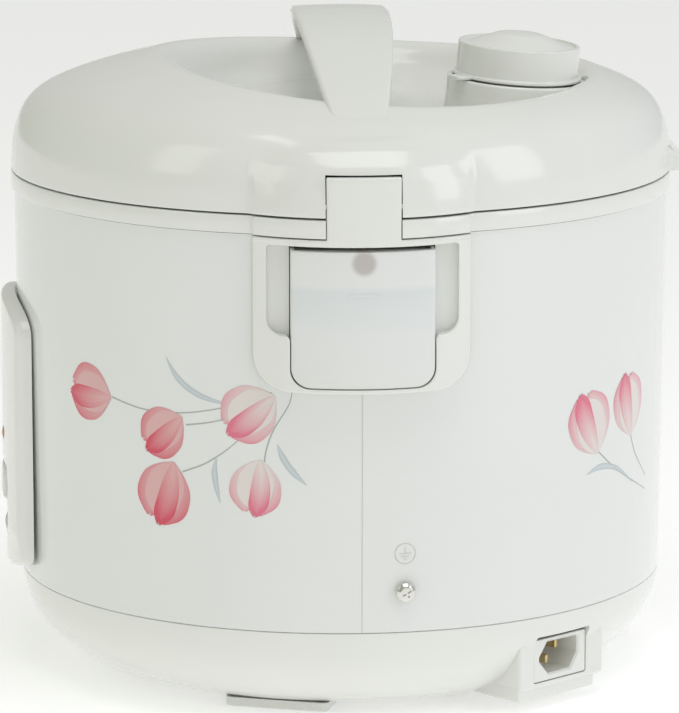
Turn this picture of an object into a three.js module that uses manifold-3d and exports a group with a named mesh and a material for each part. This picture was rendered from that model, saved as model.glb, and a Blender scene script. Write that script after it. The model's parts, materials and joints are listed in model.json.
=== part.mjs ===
// Jar-type rice cooker. Millimetres, +Z up, origin on the floor under the centre of the round body.
// The lid hinge and the dew collector face +X, the release button faces -X,
// the control panel faces -Y and the lift lip of the lid faces +Y.
import * as THREE from "three";
import { mergeVertices } from "three/addons/utils/BufferGeometryUtils.js";
import Module from "manifold-3d";

const wasm = await Module();
wasm.setup();

// ---- driving dimensions -------------------------------------------------------------------------
const gap = 0.3;                 // clearance between pieces that touch
const wallRadius = 145;          // painted steel sheet, at its top
const wallFootRadius = 143.3;    // the same sheet at its lower edge
const sheet = 1;                 // thickness of the sheet
const baseSeamZ = 42.5;          // top edge of the plastic base
const baseFloorZ = 4.4;          // underside of the base
const baseFlatRadius = 111;      // where the flat underside meets the bowl
const wallTopZ = 212.7;
const ringTopZ = 220.7;
const seamZ = 221.5;             // lower edge of the lid
const lidTopZ = 275.8;
const lidRadius = 146.2;         // of the lid and of the ring under it, at the seam
const plastic = 2.5;             // wall thickness of moulded parts
const round = 48;                // facets around a full turn of an outer piece
const coarse = 32;               // facets around a full turn of an inner piece

const bossRadius = 75;           // plan radius of the hinge boss and of the latch boss
const bossCentreX = 81.5;
const bossHalfWidth = 45.5;
const hingeX = 151.5;
const hingeZ = 226;
const hingePinRadius = 1.25;
const hingePinHalf = 19;
const tongueHalfWidth = 15.5;
const tongueTopZ = 238.5;

const bracketBottomZ = 147.9;
const collectorHalfWidth = 30;
const collectorBottomZ = 150;
const collectorTopZ = 207.5;
const pocketHalfWidth = 40;
const pocketTopZ = 209.5;
const pocketBottomZ = 171.5;

const potRadius = 114;
const potFlangeZ = 214.8;
const potBottomZ = 84;
const shieldRadius = 117.5;
const shieldFloorZ = 66;

const panelHalfWidth = 46;
const panelFrontRadius = 151.6;
const knobZ = 80.5;
const leverPivotY = -38;
const leverPivotZ = 50;
const leverThickness = 2.4;
const lampXs = [-12, 12];
const lampZ = 103.5;

const recessFloorZ = 248;
const recessCentreY = 18;
const recessHalf = [100, 80];    // half sizes of the oval floor of the lid recess
const handleTopZ = 290.5;
const handleDrop = 0.00199;      // the handle falls by handleDrop * x * x
const handleReach = 129;
const handleThickness = 4.5;
const handleHalfWidth = 21.1;    // the half width falls by (x / handleTaper) squared
const handleTaper = 187;
const handleEndZ = handleTopZ - handleDrop * handleReach ** 2 - handleThickness;

const ventDistance = 79.2;
const ventAngle = 70.3 * Math.PI / 180;
const ventTilt = 4 * Math.PI / 180;
const seatTopZ = 14.5;           // in the vent's own frame

const inletAngle = 40 * Math.PI / 180;
const inletFaceU = 138.5;        // distance of the inlet's flat face from the axis
const inletBackU = 104;
const inletHalf = 26;
const inletPins = [[-7.4, 25], [4.2, 25], [-1.6, 19]];
const socketRoom = { u: [109, 150], v: [-17.5, 15], z: [12, 33] };

const earthAngle = 7.3 * Math.PI / 180;
const earthZ = 60.5;

const latchX = -133;
const latchPivotZ = 243.5;

// ---- materials ----------------------------------------------------------------------------------
function finish(color, roughness, metalness) {
  return new THREE.MeshStandardMaterial({ color, roughness, metalness });
}
const whitePlastic = finish(0xe6e6e0, 0.18, 0);
const paintedSheet = finish(0xe4e6e4, 0.12, 0);
const greyPlastic = finish(0xc9cac4, 0.35, 0);
const frosted = finish(0xdfe4e2, 0.35, 0);
const silicone = finish(0xb9bbb6, 0.6, 0);
const aluminium = finish(0xb4b6b8, 0.35, 1);
const castAluminium = finish(0x9c9ea0, 0.55, 1);
const steel = finish(0xa8aaac, 0.3, 1);
const brass = finish(0xc6a557, 0.35, 1);
const darkPlastic = finish(0x3a3a3a, 0.5, 0);
const amber = finish(0xe08a2a, 0.2, 0);
const green = finish(0x5fae5a, 0.2, 0);

// ---- solids -------------------------------------------------------------------------------------
// Turns a closed geometry into a solid whose faces point outwards.
function solid(geometry) {
  const bare = geometry.clone();
  bare.deleteAttribute("normal");
  bare.deleteAttribute("uv");
  const merged = mergeVertices(bare, 1e-4);
  const xyz = merged.attributes.position.array;
  const index = merged.index.array;
  const corner = [0, 1, 2].map(() => new THREE.Vector3());
  const faces = [];
  let volume = 0;
  for (let i = 0; i < index.length; i += 3) {
    const [a, b, c] = [index[i], index[i + 1], index[i + 2]];
    if (a === b || b === c || c === a) continue;
    [a, b, c].forEach((v, k) => corner[k].fromArray(xyz, 3 * v));
    volume += corner[0].dot(corner[1].clone().cross(corner[2]));
    faces.push([a, b, c]);
  }
  const turned = volume < 0 ? faces.map(([a, b, c]) => [a, c, b]) : faces;
  return new wasm.Manifold(new wasm.Mesh({
    numProp: 3,
    vertProperties: Float32Array.from(xyz),
    triVerts: Uint32Array.from(turned.flat()),
  }));
}

// A solid turned about the Z axis through (x, y), from [radius, z] points.
function turned(points, x = 0, y = 0, segments = round) {
  const outline = points.map(([r, z]) => new THREE.Vector2(r, z));
  const geometry = new THREE.LatheGeometry(outline, segments);
  geometry.rotateX(Math.PI / 2);
  geometry.translate(x, y, 0);
  return solid(geometry);
}

// A closed ring profile: the first point is repeated at the end.
function ring(points, x = 0, y = 0, segments = round) {
  return turned([...points, points[0]], x, y, segments);
}

function slab([x0, x1], [y0, y1], [z0, z1]) {
  const geometry = new THREE.BoxGeometry(x1 - x0, y1 - y0, z1 - z0);
  geometry.translate((x0 + x1) / 2, (y0 + y1) / 2, (z0 + z1) / 2);
  return solid(geometry);
}

// A rod between two points.
function rod(radius, from, to, segments = 16) {
  const start = new THREE.Vector3(...from);
  const end = new THREE.Vector3(...to);
  const span = end.clone().sub(start);
  const geometry = new THREE.CylinderGeometry(radius, radius, span.length(), segments);
  const up = new THREE.Vector3(0, 1, 0);
  geometry.applyQuaternion(new THREE.Quaternion().setFromUnitVectors(up, span.normalize()));
  geometry.translate(...start.add(end).multiplyScalar(0.5).toArray());
  return solid(geometry);
}

// An outline, as points or a shape, pushed from 0 to depth along its own Z.
function extrusion(points, depth) {
  const shape = points instanceof THREE.Shape ? points : polygon(points);
  return new THREE.ExtrudeGeometry(shape, { depth, bevelEnabled: false, curveSegments: 8 });
}

// A plan outline in X and Y, raised from z0 to z1.
function raised(points, z0, z1) {
  const geometry = extrusion(points, z1 - z0);
  geometry.translate(0, 0, z0);
  return solid(geometry);
}

// A front outline in (Y, Z), pushed along X from x0 to x1.
function alongX(points, x0, x1) {
  const geometry = extrusion(points, x1 - x0);
  const axes = new THREE.Matrix4().makeBasis(
    new THREE.Vector3(0, 1, 0), new THREE.Vector3(0, 0, 1), new THREE.Vector3(1, 0, 0));
  geometry.applyMatrix4(axes);
  geometry.translate(x0, 0, 0);
  return solid(geometry);
}

// A side outline in (X, Z), pushed along Y from y0 to y1.
function alongY(points, y0, y1) {
  const geometry = extrusion(points, y1 - y0);
  const axes = new THREE.Matrix4().makeBasis(
    new THREE.Vector3(1, 0, 0), new THREE.Vector3(0, 0, 1), new THREE.Vector3(0, -1, 0));
  geometry.applyMatrix4(axes);
  geometry.translate(0, y1, 0);
  return solid(geometry);
}

function polygon(points) {
  return new THREE.Shape(points.map(([a, b]) => new THREE.Vector2(a, b)));
}

// A coil spring along +Z from z0 to z1, on the axis (0, 0).
function coilGeometry(radius, wire, turns, z0, z1) {
  class Helix extends THREE.Curve {
    getPoint(t, target = new THREE.Vector3()) {
      const a = 2 * Math.PI * turns * t;
      return target.set(radius * Math.cos(a), radius * Math.sin(a), z0 + (z1 - z0) * t);
    }
  }
  const section = new THREE.Shape();
  section.absarc(0, 0, wire / 2, 0, 2 * Math.PI);
  const steps = Math.round(turns * 9);
  return new THREE.ExtrudeGeometry(section, {
    steps, curveSegments: 3, bevelEnabled: false, extrudePath: new Helix(),
  });
}

function joined(...solids) {
  return solids.reduce((all, next) => all.add(next));
}

function cut(body, ...tools) {
  return tools.reduce((left, tool) => left.subtract(tool), body);
}

const cooker = new THREE.Group();

function part(name, body, material) {
  const { vertProperties, triVerts } = body.getMesh();
  const geometry = new THREE.BufferGeometry();
  geometry.setAttribute("position", new THREE.BufferAttribute(Float32Array.from(vertProperties), 3));
  geometry.setIndex(new THREE.BufferAttribute(Uint32Array.from(triVerts), 1));
  const mesh = new THREE.Mesh(geometry, material);
  mesh.name = name;
  cooker.add(mesh);
}

// ---- body ---------------------------------------------------------------------------------------
// The bowl of the base falls from the seam to the floor in one curve.
function bowlCurve(inset, steps) {
  const curve = new THREE.QuadraticBezierCurve(
    new THREE.Vector2(wallFootRadius - inset, baseSeamZ),
    new THREE.Vector2(140.6 - inset, 10.7 + inset),
    new THREE.Vector2(100.3 - inset, 1 + inset));
  return curve.getPoints(steps).filter((p) => p.y > baseFloorZ + inset + 0.2).map((p) => [p.x, p.y]);
}

const bowlOutside = bowlCurve(0, 9);
const bowlInside = bowlCurve(plastic, 5);

function bowlSolid() {
  const risingSide = bowlOutside.slice().reverse();
  return turned([[0, baseFloorZ], [baseFlatRadius, baseFloorZ], ...risingSide, [0, baseSeamZ]]);
}

// Puts a point given outwards (u), sideways (v) and up (z) at a plan angle.
function at(angle, u, v, z) {
  return [u * Math.cos(angle) - v * Math.sin(angle), u * Math.sin(angle) + v * Math.cos(angle), z];
}

function blockAt(angle, [u0, u1], [v0, v1], [z0, z1]) {
  const geometry = new THREE.BoxGeometry(u1 - u0, v1 - v0, z1 - z0);
  geometry.translate((u0 + u1) / 2, (v0 + v1) / 2, (z0 + z1) / 2);
  geometry.rotateZ(angle);
  return solid(geometry);
}

// The block that carries the mains inlet, and the plinth under it, grown by "extra" all round.
function inletSolid(extra) {
  const block = blockAt(inletAngle, [inletBackU - extra, inletFaceU + extra],
    [-inletHalf - extra, inletHalf + extra], [9.4 - extra, 31 + extra]);
  const plinth = blockAt(inletAngle, [inletBackU - extra, inletFaceU - 0.8 + extra],
    [-inletHalf - extra, 21 + extra], [4.6 - extra, 10]);
  return joined(block, plinth);
}

function socketHole() {
  return blockAt(inletAngle, socketRoom.u, socketRoom.v, socketRoom.z);
}

const footAngles = [-18, 72, 162, 252].map((degrees) => degrees * Math.PI / 180);
const footRadius = 103;
const screwAngles = [27, 117, 207, 297].map((degrees) => degrees * Math.PI / 180);
const screwRadius = 92;

function baseShell() {
  const lip = [[141.7, baseSeamZ], [141.7, 48.5], [139.6, 48.5], [139.6, baseSeamZ - 2]];
  const inside = bowlInside.filter(([, z]) => z < baseSeamZ - 4);
  const outside = bowlOutside.slice().reverse();
  const bowl = turned([
    [0, baseFloorZ], [baseFlatRadius, baseFloorZ], ...outside, ...lip, ...inside, [0, baseFloorZ + plastic],
  ]);
  const vents = [0, 1, 2, 3, 4, 5].map((k) => {
    return blockAt((k + 0.5) * Math.PI / 3, [35, 70], [-2, 2], [0, 12]);
  });
  const holes = [
    ...footAngles.map((a) => rod(3 + gap, at(a, footRadius, 0, 0), at(a, footRadius, 0, 12), 12)),
    ...screwAngles.map((a) => rod(1.8 + gap, at(a, screwRadius, 0, 0), at(a, screwRadius, 0, 12), 12)),
    rod(1.8 + gap, [-16, leverPivotY, 0], [-16, leverPivotY, 12], 12),
    rod(1.8 + gap, [16, leverPivotY, 0], [16, leverPivotY, 12], 12),
  ];
  return cut(bowl, inletSolid(gap), socketHole(), ...vents, ...holes);
}

function inletHousing() {
  return cut(inletSolid(0), socketHole());
}

// Socket outline seen from outside: v to the right, z up.
const socketOutline = [
  [-8.5, 29.2], [10, 29], [10, 21.8], [5.5, 15.3], [-7.7, 15.2], [-13.2, 21.2], [-13.2, 23],
];

function prismAt(angle, outline, u0, u1) {
  return alongX(outline, u0, u1).rotate([0, 0, angle * 180 / Math.PI]);
}

function inletSocket() {
  const [u, v, z] = [socketRoom.u, socketRoom.v, socketRoom.z];
  const insert = blockAt(inletAngle, [u[0] + gap, u[1]], [v[0] + gap, v[1] - gap], [z[0] + gap, z[1] - gap]);
  const flush = insert.intersect(joined(bowlSolid(), inletSolid(0)));
  const pins = inletPins.map(([v, z]) => blockAt(inletAngle, [100, 136], [v - 1, v + 1], [z - 2, z + 2]));
  const pinHoles = inletPins.map(([v, z]) => {
    return blockAt(inletAngle, [100, 136], [v - 1.3, v + 1.3], [z - 2.3, z + 2.3]);
  });
  const body = cut(flush, prismAt(inletAngle, socketOutline, 120, 150), ...pinHoles);
  const pinRoom = blockAt(inletAngle, [109.8, 131], [-20, 20], [10, 34]);
  return { body, pins: pins.map((pin) => pin.intersect(pinRoom)) };
}

function outerWall() {
  const tube = ring([
    [wallFootRadius - sheet, baseSeamZ + gap], [wallFootRadius, baseSeamZ + gap],
    [wallRadius, wallTopZ], [wallRadius - sheet, wallTopZ],
  ]);
  const upperWindow = slab([120, 160], [-42.3, 42.3], [170, 211.2]);
  const lowerWindow = slab([120, 160], [-32.2, 32.2], [148.3, 175]);
  const leverWindow = slab([-12, 12], [-160, -120], [62, 90]);
  const screwHole = rod(2.6, at(earthAngle, 130, 0, earthZ), at(earthAngle, 160, 0, earthZ), 12);
  return cut(tube, upperWindow, lowerWindow, leverWindow, screwHole);
}

function bossPlan(radius, side, z0, z1) {
  const puck = turned([[0, z0], [radius, z0], [radius, z1], [0, z1]], side * bossCentreX);
  const reach = side > 0 ? [136, 160] : [-160, -136];
  return puck.intersect(slab(reach, [-bossHalfWidth, bossHalfWidth], [z0, z1]));
}

function topRing() {
  const band = ring([
    [118.5, 214.5], [124.5, 214.5], [124.5, ringTopZ], [lidRadius, ringTopZ], [lidRadius, 213],
    [143.5, 213], [143.5, 205], [141.6, 205], [141.6, 211], [118.5, 211],
  ]);
  const bosses = [1, -1].map((side) => bossPlan(bossRadius, side, 213, ringTopZ));
  const tongueSlot = slab([149.1, 160], [-tongueHalfWidth - gap, tongueHalfWidth + gap], [200, 230]);
  const bracketRoom = slab([128, 150], [-42.5, 42.5], [200, 211]);
  const hookSlot = slab([-138.2, -126], [-8.6, 8.6], [200, 230]);
  return cut(joined(band, ...bosses), tongueSlot, bracketRoom, hookSlot);
}

function heatShield() {
  const inner = shieldRadius - 0.8;
  return ring([
    [20, shieldFloorZ], [shieldRadius, shieldFloorZ], [shieldRadius, 209.9], [122, 209.9], [122, 210.7],
    [inner, 210.7], [inner, shieldFloorZ + 0.8], [20, shieldFloorZ + 0.8],
  ], 0, 0, coarse);
}

function innerPot() {
  const wall = 2;
  const outside = [[0, potBottomZ], [100, potBottomZ], [110, 88], [potRadius, 98], [potRadius, potFlangeZ]];
  const flange = [[123.6, potFlangeZ], [123.6, potFlangeZ + 1.5], [potRadius - wall, potFlangeZ + 1.5]];
  const inside = [[potRadius - wall, 99], [108.5, 90.3], [99, 86], [0, 86]];
  return turned([...outside, ...flange, ...inside], 0, 0, coarse);
}

function heatingPlate() {
  return ring([[19, 67.1], [88, 67.1], [88, 80], [84, 83.7], [19, 83.7]], 0, 0, coarse);
}

function sensorCap() {
  return turned([[0, 81.6], [15.2, 81.6], [15.2, 76], [17, 76], [17, 82.6], [16, 83.6], [0, 83.6]], 0, 0, 32);
}

function sensorCup() {
  const cup = [[4, 60.2], [12, 60.2], [12, 65], [24, 65], [24, 65.7], [11, 65.7], [11, 61.2], [4, 61.2]];
  return ring(cup, 0, 0, 24);
}

function magnetRod() {
  const rise = [[0, 52.2], [2.5, 52.2], [2.5, 62], [8, 62], [8, 68], [0, 68]];
  return turned(rise, 0, 0, 24);
}

function switchLever() {
  const half = leverThickness / 2;
  const low = leverPivotZ - half;
  const high = leverPivotZ + half;
  const side = [
    [6, low], [leverPivotY + 4, low], [leverPivotY + 4, low - 3], [leverPivotY - 4, low - 3],
    [leverPivotY - 4, low], [-126.4, low], [-126.4, knobZ - half], [-149.2, knobZ - half],
    [-149.2, knobZ + half], [-124, knobZ + half], [-124, high], [6, high],
  ];
  const eye = rod(1.5 + gap, [-20, leverPivotY, leverPivotZ - 1.2], [20, leverPivotY, leverPivotZ - 1.2], 12);
  return cut(alongX(side, -4.5, 4.5), eye);
}

function leverBracket() {
  const floorZ = baseFloorZ + plastic + 1.2;
  const foot = slab([-24, 24], [leverPivotY - 8, leverPivotY + 8], [floorZ, floorZ + 2]);
  const cheeks = [-1, 1].map((side) => {
    const x = [side * 8, side * 10].sort((a, b) => a - b);
    return slab(x, [leverPivotY - 6, leverPivotY + 6], [floorZ, leverPivotZ + 6]);
  });
  const eye = rod(1.5 + gap, [-20, leverPivotY, leverPivotZ - 1.2], [20, leverPivotY, leverPivotZ - 1.2], 12);
  const screws = [-16, 16].map((x) => rod(1.8 + gap, [x, leverPivotY, 0], [x, leverPivotY, 20], 12));
  return cut(joined(foot, ...cheeks), eye, ...screws);
}

function pan(x, y, shaftTopZ) {
  const head = rod(4, [x, y, 1.7], [x, y, baseFloorZ - gap], 12);
  return joined(head, rod(1.8, [x, y, 3], [x, y, shaftTopZ], 8));
}

function panelOutline() {
  const shape = new THREE.Shape();
  const half = panelHalfWidth;
  const shoulderZ = 152;
  const apexZ = 166.5;
  const sideFootZ = 50.5;
  const chinZ = 43.6;
  shape.moveTo(-half, sideFootZ + 4);
  shape.quadraticCurveTo(-half, sideFootZ, -half + 8, sideFootZ - 2);
  shape.quadraticCurveTo(0, chinZ - (sideFootZ - 2 - chinZ), half - 8, sideFootZ - 2);
  shape.quadraticCurveTo(half, sideFootZ, half, sideFootZ + 4);
  shape.lineTo(half, shoulderZ);
  shape.quadraticCurveTo(0, 2 * apexZ - shoulderZ, -half, shoulderZ);
  return shape;
}

function controlPanel() {
  const skin = ring([
    [wallRadius + gap + 0.1, 43.6], [150.4, 43.6], [150.4, 61], [panelFrontRadius, 62],
    [panelFrontRadius, 170], [wallRadius + gap + 0.1, 170],
  ]);
  const outline = alongY(panelOutline(), -170, -120);
  const leverDish = ring([[149.6, 61], [160, 61], [160, 90.5], [149.6, 90.5]])
    .intersect(slab([-24, 24], [-170, -120], [50, 100]));
  const leverSlot = slab([-5.5, 5.5], [-170, -120], [68.2, 82.6]);
  const lampHoles = lampXs.map((x) => rod(3 + gap, [x, -170, lampZ], [x, -120, lampZ], 16));
  return cut(skin.intersect(outline), leverDish, leverSlot, ...lampHoles);
}

function leverKnob() {
  const arc = ring([[150.2, 73.5], [151.4, 73.5], [152.7, 76], [152.7, 84.5], [151.8, 87.5], [150.2, 87.5]]);
  return arc.intersect(slab([-17, 17], [-170, -120], [60, 100]));
}

// ---- hinge side of the body ---------------------------------------------------------------------
// Front outline of the bracket in (y, z), with rounded lower corners.
function bracketOutline() {
  const shape = new THREE.Shape();
  const half = bossHalfWidth;
  const corner = 15;
  shape.moveTo(-half, 212.4);
  shape.lineTo(-half, bracketBottomZ + corner);
  shape.absarc(-half + corner, bracketBottomZ + corner, corner, Math.PI, 1.5 * Math.PI);
  shape.absarc(half - corner, bracketBottomZ + corner, corner, 1.5 * Math.PI, 2 * Math.PI);
  shape.lineTo(half, 212.4);
  return shape;
}

// A recess outline with two rounded lower corners, in (y, z).
function pocketOutline(half, bottom, top, corner) {
  const shape = new THREE.Shape();
  shape.moveTo(-half, top);
  shape.lineTo(-half, bottom + corner);
  shape.absarc(-half + corner, bottom + corner, corner, Math.PI, 1.5 * Math.PI);
  shape.absarc(half - corner, bottom + corner, corner, 1.5 * Math.PI, 2 * Math.PI);
  shape.lineTo(half, top);
  return shape;
}

// The front of the tongue, with its top edge rounded over.
function tongueFront() {
  const edge = 1.6;
  const outline = [
    [0, 220], [bossRadius, 220], [bossRadius, tongueTopZ - edge], [bossRadius - 0.5, tongueTopZ - 0.5],
    [bossRadius - edge, tongueTopZ], [0, tongueTopZ],
  ];
  return turned(outline, bossCentreX);
}

function hingeBracket() {
  const face = bossPlan(bossRadius, 1, bracketBottomZ, 212.4)
    .intersect(alongX(bracketOutline(), 120, 160));
  const hugged = cut(face, turned([[0, 140], [145.4, 140], [145.4, 220], [0, 220]]));
  const upperBox = slab([131, 150], [-42, 42], [170.3, 210.7]);
  const lowerBox = slab([131, 150], [-31.9, 31.9], [148.6, 175]);
  const tongueBase = bossPlan(bossRadius, 1, 205, seamZ + 4)
    .intersect(slab([149.4, 160], [-tongueHalfWidth, tongueHalfWidth], [205, seamZ + 4]));
  const tongueSkin = tongueFront()
    .intersect(slab([hingeX + 0.8, 160], [-tongueHalfWidth, tongueHalfWidth], [220, tongueTopZ]));
  const knuckle = rod(3.2, [hingeX, -tongueHalfWidth, hingeZ], [hingeX, tongueHalfWidth, hingeZ], 20);
  const fingerRoom = alongX(pocketOutline(pocketHalfWidth, pocketBottomZ, pocketTopZ, 7), 142, 170);
  const collectorRoom = alongX(
    pocketOutline(collectorHalfWidth + 0.4, collectorBottomZ - 0.4, pocketTopZ, 8), 133, 170);
  const pinHole = rod(hingePinRadius + gap, [hingeX, -30, hingeZ], [hingeX, 30, hingeZ], 16);
  const spoutHole = rod(3 + gap, [120, 0, 202.9], [140, 0, 202.9], 12);
  const body = joined(hugged, upperBox, lowerBox, tongueBase, tongueSkin, knuckle);
  return cut(body, fingerRoom, collectorRoom, pinHole, spoutHole);
}

function dewCollector() {
  const front = bossPlan(bossRadius - 0.5, 1, collectorBottomZ, collectorTopZ);
  const behind = slab(
    [133.4, 137], [-collectorHalfWidth, collectorHalfWidth], [collectorBottomZ, collectorTopZ]);
  const outline = alongX(pocketOutline(collectorHalfWidth, collectorBottomZ, collectorTopZ, 8), 120, 170);
  const block = joined(front, behind).intersect(outline);
  const roomOutline = pocketOutline(collectorHalfWidth - 1.6, collectorBottomZ + 1.6, 230, 6.5);
  const plan = turned([[0, 140], [bossRadius - 2.3, 140], [bossRadius - 2.3, 240], [0, 240]], bossCentreX);
  const room = alongX(roomOutline, 135, 170).intersect(plan);
  const aboveCup = slab([120, 150.6], [-28.4, 28.4], [193.5, 230]);
  const fingerRib = slab([150, 156.4], [-6.7, 6.7], [188.9, 190.1]);
  return joined(cut(block, room, aboveCup), fingerRib.intersect(slab([154.5, 160], [-10, 10], [180, 200])));
}

function drainSpout() {
  const tube = rod(5, [133.4, 0, 202.9], [153.4, 0, 202.9], 20);
  const stub = rod(3, [127, 0, 202.9], [134, 0, 202.9], 12);
  const bore = rod(1.6, [125, 0, 202.9], [145, 0, 202.9], 12);
  const outlet = rod(1.6, [143.5, 0, 203], [143.5, 0, 190], 12);
  return cut(joined(tube, stub), bore, outlet);
}

// ---- lid ----------------------------------------------------------------------------------------
function domeCurve(inset, steps) {
  const stations = [
    [lidRadius, seamZ], [144.5, 238.5], [138, 251.5], [124, 259.8], [97, 267.9], [60, 274.9], [0, lidTopZ],
  ];
  const points = stations.map(([r, z]) => new THREE.Vector2(Math.max(r - inset, 0), z - inset));
  const curve = new THREE.SplineCurve(points);
  return curve.getPoints(steps).map((p) => [Math.max(p.x, 0), Math.min(p.y, lidTopZ - inset)]);
}

function domeSolid(inset) {
  const outline = domeCurve(inset, inset > 0 ? 6 : 11).filter(([, z]) => z > seamZ - 1);
  const foot = [[0, seamZ - inset], [lidRadius - inset, seamZ - inset]];
  return turned([...foot, ...outline.slice(1, -1), [0, lidTopZ - inset]]);
}

// The oval recess that holds the handle and the steam vent, grown by "extra" for its inner skin.
function recessTool(extra) {
  const depth = 37;
  const flare = 20;
  const [top, floor] = [recessHalf[0] + extra + flare, recessHalf[0] + extra];
  const geometry = new THREE.CylinderGeometry(1, floor / top, depth, round);
  geometry.rotateX(Math.PI / 2);
  geometry.scale(top, recessHalf[1] + extra + flare, 1);
  geometry.translate(0, recessCentreY, recessFloorZ - extra + depth / 2);
  const well = new THREE.CylinderGeometry(31.4 + extra, 31.4 + extra, 50, 24);
  well.rotateX(Math.PI / 2);
  well.translate(0, 0, 25);
  toVent(well);
  const wellAboveFloor = solid(well).subtract(slab([-200, 200], [-200, 200], [100, recessFloorZ - extra]));
  return joined(solid(geometry), wellAboveFloor);
}

// Moves geometry from the vent's own frame, whose origin is on the recess floor, into the cooker's frame.
function toVent(geometry) {
  geometry.rotateY(ventTilt);
  geometry.rotateZ(ventAngle);
  geometry.translate(ventDistance * Math.cos(ventAngle), ventDistance * Math.sin(ventAngle), recessFloorZ);
  return geometry;
}

function ventTurned(points, segments = 24) {
  const outline = points.map(([r, z]) => new THREE.Vector2(r, z));
  const geometry = new THREE.LatheGeometry(outline, segments);
  geometry.rotateX(Math.PI / 2);
  return solid(toVent(geometry));
}

// The boss over the hinge, and the same shape over the latch.
function lidBoss(side) {
  const outline = [
    [0, seamZ], [bossRadius - 1.2, seamZ], [bossRadius, seamZ + 1.1], [bossRadius - 0.7, 229],
    [73, 236], [70, 242.5], [65.5, 247.5], [59, 252], [0, 256],
  ];
  const reach = side > 0 ? [138, 160] : [-160, -138];
  const width = [-bossHalfWidth, bossHalfWidth];
  return turned(outline, side * bossCentreX).intersect(slab(reach, width, [200, 260]));
}

function handleStrap(extra) {
  const xs = Array.from({ length: 25 }, (_, k) => handleReach * (k / 12 - 1));
  const top = xs.map((x) => [x, handleTopZ - handleDrop * x * x + extra]);
  const under = xs.map((x) => [x, handleTopZ - handleDrop * x * x - handleThickness - extra]).reverse();
  const side = alongY([...top, ...under], -30, 30);
  const half = (x) => handleHalfWidth * (1 - (x / handleTaper) ** 2) + extra;
  const longer = handleReach + extra;
  const stations = [-1, -0.8, -0.6, -0.3, 0, 0.3, 0.6, 0.8, 1].map((k) => k * longer);
  const plan = [...stations.map((x) => [x, -half(x)]), ...stations.map((x) => [x, half(x)]).reverse()];
  const body = side.intersect(raised(plan, 200, 300));
  if (extra === 0) return body;
  const ends = [1, -1].map((s) => {
    const x = [s * (handleReach - 2), s * longer].sort((a, b) => a - b);
    return slab(x, [-half(handleReach), half(handleReach)], [handleEndZ - extra, handleEndZ + 8]);
  });
  return joined(body, ...ends);
}

function lidShell() {
  const lipSection = [
    [140, 231.5], [144.5, 230.5], [151.6, 225.8],
    [151.6, 223.2], [147, seamZ], [140, seamZ],
  ];
  const lip = alongX(lipSection, -34.6, 34.6);
  const outside = joined(domeSolid(0), lidBoss(1), lidBoss(-1), lip);
  const lugs = [-1, 1].map((side) => {
    const y = [side * 9, side * 12].sort((a, b) => a - b);
    return slab([-146, latchX + 4], y, [latchPivotZ - 3.3, latchPivotZ + 4]);
  });
  const hollow = cut(domeSolid(plastic), recessTool(plastic), ...lugs);
  const tongueRoomHalf = tongueHalfWidth + 0.4;
  const tongueRoom = slab([137.5, 160], [-tongueRoomHalf, tongueRoomHalf], [200, tongueTopZ + 0.7]);
  const pinEnd = hingePinHalf + 0.5;
  const pinHole = rod(hingePinRadius + gap, [hingeX, -pinEnd, hingeZ], [hingeX, pinEnd, hingeZ], 16);
  const buttonRoom = slab([-170, -139], [-18.2, 18.2], [227, 239.9]);
  const latchPinHole = rod(1.5 + gap, [latchX, -14, latchPivotZ], [latchX, 14, latchPivotZ], 16);
  const ventHole = ventTurned([[0, -30], [15.4, -30], [15.4, 10], [0, 10]]);
  const fittings = [tongueRoom, pinHole, buttonRoom, latchPinHole, ventHole, handleStrap(gap)];
  return cut(outside, recessTool(0), hollow, ...fittings);
}

function lidLiner() {
  const plate = turned([[0, 222], [138.5, 222], [138.5, 224], [0, 224]]);
  const ventSpot = (z) => at(ventAngle, ventDistance - 2, 0, z);
  const ventBore = rod(16, ventSpot(215), ventSpot(230), 24);
  const hookSlot = slab([-150, -127.5], [-8.6, 8.6], [215, 230]);
  const knobHole = rod(4 + gap, [0, 0, 215], [0, 0, 230], 16);
  return cut(plate, ventBore, hookSlot, knobHole);
}

function innerLid() {
  const dish = turned([
    [0, 217.4], [100, 217.4], [104, 218.6], [113.6, 218.6],
    [113.6, 219.8], [103, 219.8], [99, 218.6], [0, 218.6],
  ], 0, 0, coarse);
  const knobHole = rod(4 + gap, [0, 0, 210], [0, 0, 230], 16);
  const steamHoles = [-10, -5, 0, 5, 10].map((v) => {
    return rod(1.6, at(ventAngle, ventDistance, v, 210), at(ventAngle, ventDistance, v, 230), 6);
  });
  return cut(dish, knobHole, ...steamHoles);
}

function innerLidKnob() {
  const knob = [[0, 212], [8, 212], [10, 214], [10, 217], [4, 217], [4, 226], [6, 226.4], [6, 228], [0, 228]];
  return turned(knob, 0, 0, 24);
}

function lidGasket() {
  return ring([[113.9, 216.7], [119.5, 216.7], [120.5, 219.2], [119.5, 221.6], [113.9, 221.6]], 0, 0, coarse);
}

function steamSeat() {
  const floorCut = slab([-200, 200], [-200, 200], [100, recessFloorZ + gap]);
  const tower = ventTurned([[0, -4], [30.5, -4], [30.5, seatTopZ], [0, seatTopZ]]).subtract(floorCut);
  const neck = ventTurned([[0, -20], [15, -20], [15, 5], [0, 5]]);
  const bore = ventTurned([[0, -30], [12, -30], [12, 30], [0, 30]]);
  const cup = ventTurned([[0, 4], [28, 4], [28, 30], [0, 30]]);
  return cut(joined(tower, neck), bore, cup);
}

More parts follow.
